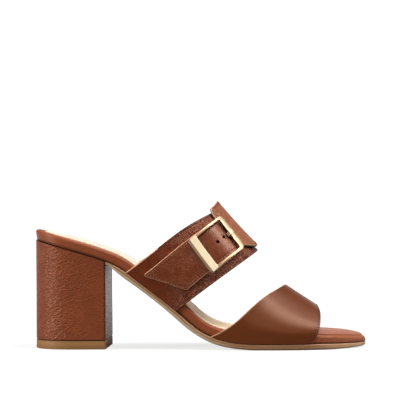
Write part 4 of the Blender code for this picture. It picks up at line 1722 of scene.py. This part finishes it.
@dataclass
class InstepBand:
    """Grained band over the instep: base band, upper layer and belt end."""

    width: float = 40.0
    length: float = 215.0
    row_ends: Span = (0.012, 0.988)
    low_grain: float = 0.12
    grain_slant: float = 0.12
    grain_span: Span = (0.08, 0.20)
    front_grain: float = 0.8
    base_cut: float = 0.9
    base_cut_run: float = 1.0
    base_cut_end: float = 0.12
    gap_rear: float = -0.276
    gap_rear_slope: float = -0.1
    gap_front: float = -0.284
    gap_front_slope: float = 0.99
    gap_front_from: float = 0.78
    gap_fade: float = 0.012
    gap_end: float = 0.05
    top_width: float = 38.0
    top_length: float = 125.0
    top_row_ends: Span = (0.18, 0.985)
    top_cut: float = 0.35
    top_cut_end: float = 0.35
    belt: Patch = Patch(Side(0.208, 0.076), Side(0.84, 0.246), Side(0.185, 0.905), Side(0.80, 0.868))
    belt_width: float = 24.5
    belt_length: float = 74.0
    belt_cut: float = 0.45
    belt_smooth: float = 0.7
    belt_smooth_span: Span = (0.42, 0.57)
    belt_row_end: float = 0.93
    hole_places: tuple[Side, ...] = (Side(0.487, 0.848), Side(0.507, 0.778))
    hole_radius: float = 1.25
    hole_depth: float = 6.0
    hole_sides: int = 24
    stitch_inset: float = 1.7
    top_curves: dict[str, Curve] = field(default_factory=lambda: column_curves(TOP_LINES))

    def top_place(self, a: Array, b: Array) -> tuple[Array, Array]:
        """Place on the band of a point on the upper layer."""
        read = self.top_curves
        across = between(read["rear_across"](b), read["front_across"](b), a)
        return across, between(read["rear_along"](b), read["front_along"](b), a)

    def top_lift(self, a: Array, b: Array) -> Array:
        """How far the upper layer stands off the base band."""
        rear = self.top_curves["rear_lift"](b) * np.maximum(0.0, 1.0 - a) ** 1.5
        return rear + self.top_curves["front_lift"](b) * np.maximum(0.0, a) ** 3

    def base_grain(self, a: Array, b: Array) -> Array:
        """Strength of the grain: almost smooth low on the rear side, strong near the front edge."""
        share = within(b + self.grain_slant * a, self.grain_span)
        return between(self.low_grain, 1.0, smooth(share)) * (1.0 + self.front_grain * a * a)

    def base_shade(self, a: Array, b: Array) -> Array:
        """Deep shade in the gaps under the upper layer's two corners."""
        along = between(-1.0, 1.0, b)
        rear = self.gap_rear + self.gap_rear_slope * a
        front = self.gap_front + self.gap_front_slope * np.maximum(0.0, a - self.gap_front_from)
        depth = np.clip((along - np.where(a < 0.5, rear, front)) / self.gap_fade, 0.0, 1.0)
        return depth * (along < self.gap_end)

    def base_cut_width(self, a: Array, b: Array) -> Array:
        """Width of the base band's pale cut edge, which shows low on the rear side."""
        return np.where((a * self.width < self.base_cut_run) & (b < self.base_cut_end), self.base_cut, 0.0)

    def build_base(self) -> None:
        """Base band with a stitch row along each edge."""
        strap = Strap(
            surface=INSTEP, place=lambda a, b: (a, between(-1.0, 1.0, b)),
            width=self.width, length=self.length, thick=BAND_THICK, level=0.0, rows=34, columns=150,
            stitched=LONG_EDGES, stitch_inset=self.stitch_inset,
            grain=self.base_grain, cut_width=self.base_cut_width, shade=self.base_shade,
        )
        settle(strap.draft().finish("instep_leather", GRAIN_BROWN.material()), Slot.GRAIN, "instep_band")
        rows = strap.edge_rows(self.row_ends)
        settle(StitchRows().build("instep_stitches", rows, BROWN_THREAD), Slot.GRAIN)

    def build_top(self) -> None:
        """Upper layer from the buckle over the crest and down the inner side."""
        strap = Strap(
            surface=INSTEP, place=self.top_place, width=self.top_width, length=self.top_length,
            thick=BAND_THICK, level=LAYER_TWO, rows=30, columns=110,
            stitched=LONG_EDGES, stitch_inset=self.stitch_inset, lift=self.top_lift,
            cut_width=lambda a, b: np.where(b < self.top_cut_end, self.top_cut, 0.0),
        )
        piece = strap.draft().finish("instep_top_leather", TOP_BROWN.material())
        settle(piece, Slot.GRAIN, "instep_top_band")
        rows = strap.edge_rows(self.top_row_ends)
        settle(StitchRows().build("instep_top_stitches", rows, BROWN_THREAD), Slot.GRAIN)

    def build_belt(self) -> None:
        """Belt end with a stitched border, rounded corners and two punched holes."""
        strap = Strap(
            surface=INSTEP, place=self.belt.place, width=self.belt_width, length=self.belt_length,
            thick=BELT_THICK, level=LAYER_TWO, rows=28, columns=80, edge_round=0.55,
            cut_width=even(self.belt_cut),
            grain=lambda a, b: 1.0 - self.belt_smooth * within(b, self.belt_smooth_span),
            stitched=(*LONG_EDGES, Edge.START), stitch_inset=self.stitch_inset,
            corners={(Edge.REAR, Edge.START): 3.0, (Edge.FRONT, Edge.START): 1.6},
        )
        piece = strap.draft().finish("belt_leather", BELT_BROWN.material())
        self.punch(piece)
        settle(piece, Slot.GRAIN, "belt_strap")
        rear, start = self.stitch_inset / self.belt_width, self.stitch_inset / self.belt_length
        front, end = 1.0 - rear, self.belt_row_end
        row = strap.stitch_path([(rear, end), (rear, start), (front, start), (front, end)])
        settle(StitchRows(width=0.6).build("belt_stitches", [row], LIGHT_THREAD), Slot.GRAIN)

    def punch(self, piece: bpy.types.Object) -> None:
        """Cuts the belt's holes right through.

        Args:
            piece: The belt end.
        """
        cutters = []
        # The hole walls take the near-black painted shade.
        wall = HOLE_SHADE.material()
        radius = self.hole_radius * MM
        for number, hole in enumerate(self.hole_places):
            across, along = np.array(hole.across), along_of(hole.rise)
            middle = to_frame(INSTEP.layer(across, along, np.array(LAYER_TWO + BELT_THICK / 2.0)))
            axis = Vector(INSTEP.normal(across, along).tolist())
            turn = axis.to_track_quat("Z", "Y").to_matrix().to_4x4()
            mesh = bpy.data.meshes.new("hole_%d" % number)
            shaped = bmesh.new()
            bmesh.ops.create_cone(
                shaped, cap_ends=True, segments=self.hole_sides, radius1=radius, radius2=radius,
                depth=self.hole_depth * MM, matrix=Matrix.Translation(Vector(middle.tolist())) @ turn)
            shaped.to_mesh(mesh)
            shaped.free()
            mesh.materials.append(wall)
            cutter = add_object(mesh.name, mesh)
            cutters.append(cutter)
            cut = piece.modifiers.new(mesh.name, "BOOLEAN")
            cut.operation = "DIFFERENCE"
            cut.solver = "EXACT"
            cut.material_mode = "TRANSFER"
            cut.object = cutter
        bpy.context.view_layer.update()
        whole = baked(piece)
        piece.modifiers.clear()
        old = piece.data
        piece.data = whole
        whole.name = old.name
        bpy.data.meshes.remove(old)
        for cutter in cutters:
            bpy.data.objects.remove(cutter)

    def build(self) -> None:
        """Builds the band's three layers."""
        self.build_base()
        self.build_top()
        self.build_belt()


class Bend(NamedTuple):
    """One point of the prong's path: share of the buckle's length and height over the band."""

    share: float
    level: float


PRONG_BEND = (
    Bend(0.820, 4.05), Bend(0.830, 4.08), Bend(0.840, 4.5), Bend(0.847, 5.4), Bend(0.853, 5.88),
    Bend(0.865, 6.02), Bend(0.90, 6.05), Bend(0.93, 6.05), Bend(0.948, 6.03), Bend(0.956, 6.00),
)


@dataclass
class Buckle:
    """Pale gold buckle: a bent frame, a wide plate over its low bar and a short prong."""

    patch: Patch = Patch(Side(0.232, 0.592), Side(0.886, 0.526), Side(0.139, 0.939), Side(0.842, 0.897))
    width: float = 26.6
    length: float = 34.0
    side_bar: float = 2.1
    high_bar: float = 4.8
    low_bar: float = 3.4
    outer_corner: float = 3.8
    low_corner: float = 1.2
    inner_corner: float = 0.7
    high_lift: float = 0.5
    lift_span: Span = (0.75, 0.95)
    bevel: float = 0.42
    low_bevel: float = 0.252
    crown: float = 0.06
    undercut: float = 0.8
    undercut_gap: float = 0.1
    undercut_run: float = 1.5
    plate_span: Span = (0.034, 0.176)
    plate_corner: float = 0.7
    prong_share: float = 0.055
    prong_slices: tuple[tuple[float, float], ...] = ((0.0, 0.82), (0.12, 0.95), (0.35, 1.0))
    side_points: int = 22
    corner_points: int = 7

    def spot(self, flat: Array, level: Any) -> Array:
        """Points over the band from millimetres across and along the buckle.

        Args:
            flat: Distances from the rear low corner, across and along.
            level: Height over the band's inner face.

        Returns:
            Points in millimetres.
        """
        across, along = self.patch.place(flat[..., 0] / self.width, flat[..., 1] / self.length)
        high = within(flat[..., 1] / self.length, self.lift_span)
        return INSTEP.layer(across, along, level + self.high_lift * smooth(high))

    def rounded_loop(self, low: Sequence[float], high: Sequence[float], radii: Sequence[float]) -> Array:
        """Closed rectangle with rounded corners.

        Args:
            low: Lowest corner.
            high: Highest corner.
            radii: Corner radii, from the lowest corner on round.

        Returns:
            Points in even order, the same number whatever the radii.
        """
        corners = [(low[0], low[1]), (high[0], low[1]), (high[0], high[1]), (low[0], high[1])]
        inwards = [(1, 1), (-1, 1), (-1, -1), (1, -1)]
        starts = (180.0, 270.0, 0.0, 90.0)
        arcs = []
        for corner, inward, radius, start in zip(corners, inwards, radii, starts):
            turns = np.radians(np.linspace(start, start + 90.0, self.corner_points))
            middle = np.array(corner) + np.array(inward) * radius
            arcs.append(middle + radius * np.stack([np.cos(turns), np.sin(turns)], axis=1))
        parts = []
        for i, arc in enumerate(arcs):
            following = arcs[(i + 1) % 4][0]
            t = np.linspace(0.0, 1.0, self.side_points + 2)[1:-1, None]
            parts += [arc, between(arc[-1], following, t)]
        return np.concatenate(parts)

    def build_frame(self) -> None:
        """Frame: a closed ring of four bars with eased edges, bent to the band."""
        outer = self.rounded_loop(
            (0.0, 0.0), (self.width, self.length),
            (self.low_corner, self.low_corner, self.outer_corner, self.outer_corner))
        inner = self.rounded_loop(
            (self.side_bar, self.low_bar), (self.width - self.side_bar, self.length - self.high_bar),
            (self.inner_corner,) * 4)
        low, high = FRAME_LEVEL, FRAME_LEVEL + FRAME_THICK
        span = np.linalg.norm(inner - outer, axis=1)
        eased = rolled(self.bevel, 5)
        section = [(0.0, self.low_bevel, low), (0.0, 0.0, low + self.bevel)]
        section += [(0.0, inset, high - drop) for inset, drop in eased]
        section += [(0.5, 0.0, high + self.crown)]
        section += [(1.0, -inset, high - drop) for inset, drop in eased[::-1]]
        section += [(1.0, 0.0, low + self.bevel), (1.0, -self.low_bevel, low)]
        side_end = self.length - self.high_bar - self.undercut_gap
        side = np.clip((side_end - inner[:, 1]) / self.undercut_run, 0.0, 1.0)
        draft = MeshDraft()
        rows = []
        for share, offset, level in section:
            # Painted shade on the inner wall of the high bar; the undercut side and low bars stay bare.
            walled = float(share == 1.0 and level < high - self.bevel - ON_EDGE)
            place = share + (offset - self.undercut * side * walled) / span
            inside = np.where(side > 0.0, 0.0, walled)
            flat = between(outer, inner, place[:, None])
            rows.append(draft.points(self.spot(flat, level), crevice=inside))
        rows.append(rows[0])
        draft.quads(np.stack(rows), closed=True)
        settle(draft.finish("buckle_ring", FRAME_GOLD.material()), Slot.GOLD, "buckle_frame")

    def build_plate(self) -> None:
        """Wide flat plate over the frame's low bar."""
        low, high = self.plate_span
        # The plate's lower face and the foot of its sides take painted crevice shade.
        strap = Strap(
            surface=INSTEP, place=lambda a, b: self.patch.place(a, between(low, high, b)), width=self.width,
            length=self.length * (high - low), thick=PLATE_THICK, level=PLATE_LEVEL, edge_round=0.38,
            rows=24, columns=8, stitch_inset=1.3, trough=0.0, under_value="crevice",
            corners={(side, end): self.plate_corner for side in LONG_EDGES for end in CROSS_EDGES},
        )
        settle(strap.draft().finish("buckle_bar_plate", PALE_GOLD.material()), Slot.GOLD, "buckle_plate")

    def build_prong(self) -> None:
        """Short prong folded over the high bar, its tip on the belt."""
        path = np.array([(bend.share * self.length, bend.level) for bend in PRONG_BEND])
        for _ in range(2):
            cut = np.empty((2 * len(path), 2))
            cut[0], cut[-1] = path[0], path[-1]
            cut[1:-1:2] = between(path[:-1], path[1:], CORNER_CUT)
            cut[2::2] = between(path[:-1], path[1:], 1.0 - CORNER_CUT)
            path = cut
        ahead = np.gradient(path, axis=0)
        outwards = unit(np.stack([-ahead[:, 1], ahead[:, 0]], axis=1))
        top = path + outwards * PRONG_THICK
        top[:, 0] = np.minimum(top[:, 0], self.length)
        core = (path + top) / 2.0
        half = self.prong_share * self.width
        slices = [(-half + inset, share) for inset, share in self.prong_slices]
        slices += [(half - inset, share) for inset, share in self.prong_slices[::-1]]
        draft = MeshDraft()
        rows = []
        for offset, share in slices:
            thin = np.concatenate([between(core, path, share), between(core, top, share)[::-1]])
            flat = np.stack([np.full(len(thin), 0.5 * self.width + offset), thin[:, 0]], axis=1)
            # The prong's two outermost sides take painted crevice shade.
            rows.append(draft.points(self.spot(flat, thin[:, 1]), crevice=float(abs(offset) == half)))
        draft.quads(np.stack(rows), closed=True)
        draft.polygon(rows[0])
        draft.polygon(rows[-1][::-1])
        settle(draft.finish("buckle_prong_loop", PRONG_GOLD.material()), Slot.GOLD, "buckle_prong")

    def build(self) -> None:
        """Builds the buckle's three pieces."""
        self.build_frame()
        self.build_plate()
        self.build_prong()


class Panel(NamedTuple):
    """One soft light panel: place and target in metres, size in metres and power in watts."""

    name: str
    place: Point
    target: Point
    size: tuple[float, float]
    power: float


@dataclass
class Studio:
    """Pale floor, soft light and the camera at the photograph's angle."""

    lens_pixels: float = 2038.79
    frame_pixels: float = 400.0
    sensor: float = 36.0
    camera_place: Point = (0.15212, -1.4, 0.09723)
    yaw: float = -2.616
    pitch: float = 0.137
    roll: float = -0.36
    floor_half: float = 30.0
    floor_drop: float = 0.0002
    floor_colour: Colour = (0.26, 0.26, 0.26)
    floor_glow: float = 0.76
    far_glow: float = 1.1
    behind_glow: float = 0.6
    back_glow: float = 1.25
    sky_glow: float = 1.1
    front_glow: float = 0.02
    seen_glow: float = 1.1
    far_span: Span = (0.25, 0.9)
    behind_span: Span = (0.15, 0.70)
    back_span: Span = (-0.2, 0.75)
    low_span: Span = (0.10, 0.40)
    sky_span: Span = (0.60, 0.92)
    right_span: Span = (0.22, 0.45)
    left_span: Span = (-0.25, -0.50)
    back_dim: float = 0.9
    clip_end: float = 200.0
    panels: tuple[Panel, ...] = (
        Panel("panel_key", (0.52, -0.30, 1.34), (0.12, 0.0, 0.03), (0.90, 0.55), 12.2),
        Panel("panel_sheen", (0.91, -0.27, 1.06), (0.10, 0.0, 0.06), (0.28, 0.28), 3.6),
        Panel("panel_bar", (0.87, 0.30, 0.95), (0.10, 0.0, 0.09), (0.35, 0.35), 0.9),
        Panel("panel_left", (-1.05, -0.34, 0.40), (0.0, 0.0, 0.05), (0.30, 0.9), 9.3),
        Panel("panel_fill", (-0.60, -0.85, 0.50), (0.0, 0.0, 0.04), (0.4, 0.4), 0.5),
        Panel("panel_front", (0.20, -1.35, 0.80), (0.1, 0.0, 0.06), (0.8, 0.5), 2.3),
    )

    def build_camera(self) -> None:
        """Adds the camera and makes it the scene's own."""
        yaw, pitch, roll = (math.radians(v) for v in (self.yaw, self.pitch, self.roll))
        forward = Vector((math.sin(yaw) * math.cos(pitch), math.cos(yaw) * math.cos(pitch), math.sin(pitch)))
        level = Vector((math.cos(yaw), -math.sin(yaw), 0.0))
        upward = level.cross(forward)
        right = level * math.cos(roll) + upward * math.sin(roll)
        up = upward * math.cos(roll) - level * math.sin(roll)
        data = bpy.data.cameras.new("photo_camera")
        data.sensor_width = self.sensor
        data.lens = self.lens_pixels * self.sensor / self.frame_pixels
        data.clip_end = self.clip_end
        data.dof.use_dof = False
        camera = add_object("photo_camera", data)
        axes = Matrix((right, up, -forward)).transposed().to_4x4()
        camera.matrix_world = Matrix.Translation(Vector(self.camera_place)) @ axes
        bpy.context.scene.camera = camera

    def build_floor(self) -> None:
        """Adds the pale floor as stage; it looks white where no shadow falls."""
        book = ShadeBook(bpy.data.materials.new("pale_floor"))
        seen = book.node("ShaderNodeLightPath", {}, {}, "Is Camera Ray")
        far = book.node("ShaderNodeVectorMath", {"operation": "LENGTH"}, {0: book.place()}, "Value")
        behind = book.axis("Y").ramp(*self.behind_span) * self.behind_glow
        glow = self.floor_glow + far.ramp(*self.far_span) * (self.far_glow - self.floor_glow)
        material = book.paint(
            Base_Color=self.floor_colour, Roughness=1.0, Specular_IOR_Level=0.0,
            Emission_Color=WHITE, Emission_Strength=behind + seen * (glow - behind),
        )
        mesh = bpy.data.meshes.new("floor")
        half, low = self.floor_half, -self.floor_drop
        corners = [(-half, -half, low), (half, -half, low), (half, half, low), (-half, half, low)]
        mesh.from_pydata(corners, [], [(0, 1, 2, 3)])
        mesh.materials.append(material)
        floor = add_object("floor", mesh)

    def add_panel(self, panel: Panel) -> None:
        """Adds a soft light panel that looks at its target."""
        data = bpy.data.lights.new(panel.name, "AREA")
        data.shape = "RECTANGLE"
        data.size, data.size_y = panel.size
        data.energy = panel.power
        lamp = add_object(panel.name, data)
        place = Vector(panel.place)
        look = (Vector(panel.target) - place).to_track_quat("-Z", "Y")
        lamp.matrix_world = Matrix.Translation(place) @ look.to_matrix().to_4x4()

    def build_light(self) -> None:
        """Adds a soft surround, bright behind and above and dim in front, and the light panels."""
        world = bpy.data.worlds.new("soft_surround")
        bpy.context.scene.world = world
        book = ShadeBook(world)
        aim = book.node("ShaderNodeTexCoord", {}, {}, "Generated")
        side, depth, height = (book.axis(name, aim) for name in "XYZ")
        aside = side.ramp(*self.right_span) + side.ramp(*self.left_span)
        low = 1.0 - height.ramp(*self.low_span) * self.back_dim
        back = depth.ramp(*self.back_span) * low * (1.0 - aside * self.back_dim)
        lit = back * self.back_glow + height.ramp(*self.sky_span) * self.sky_glow + self.front_glow
        seen = book.node("ShaderNodeLightPath", {}, {}, "Is Camera Ray")
        book.paint(Color=WHITE, Strength=lit + seen * (self.seen_glow - lit))
        for panel in self.panels:
            self.add_panel(panel)

    def build(self) -> None:
        """Sets up floor, light, camera and plain colours."""
        self.build_floor()
        self.build_light()
        self.build_camera()
        bpy.context.scene.view_settings.view_transform = "Standard"


def main() -> None:
    """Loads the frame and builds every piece."""
    logging.basicConfig(level=logging.INFO, format="%(message)s")
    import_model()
    Studio().build()
    for group in (SolePieces(), HeelPieces(), VampBand(), InstepBand(), Buckle()):
        group.build()


if __name__ == "__main__":
    main()
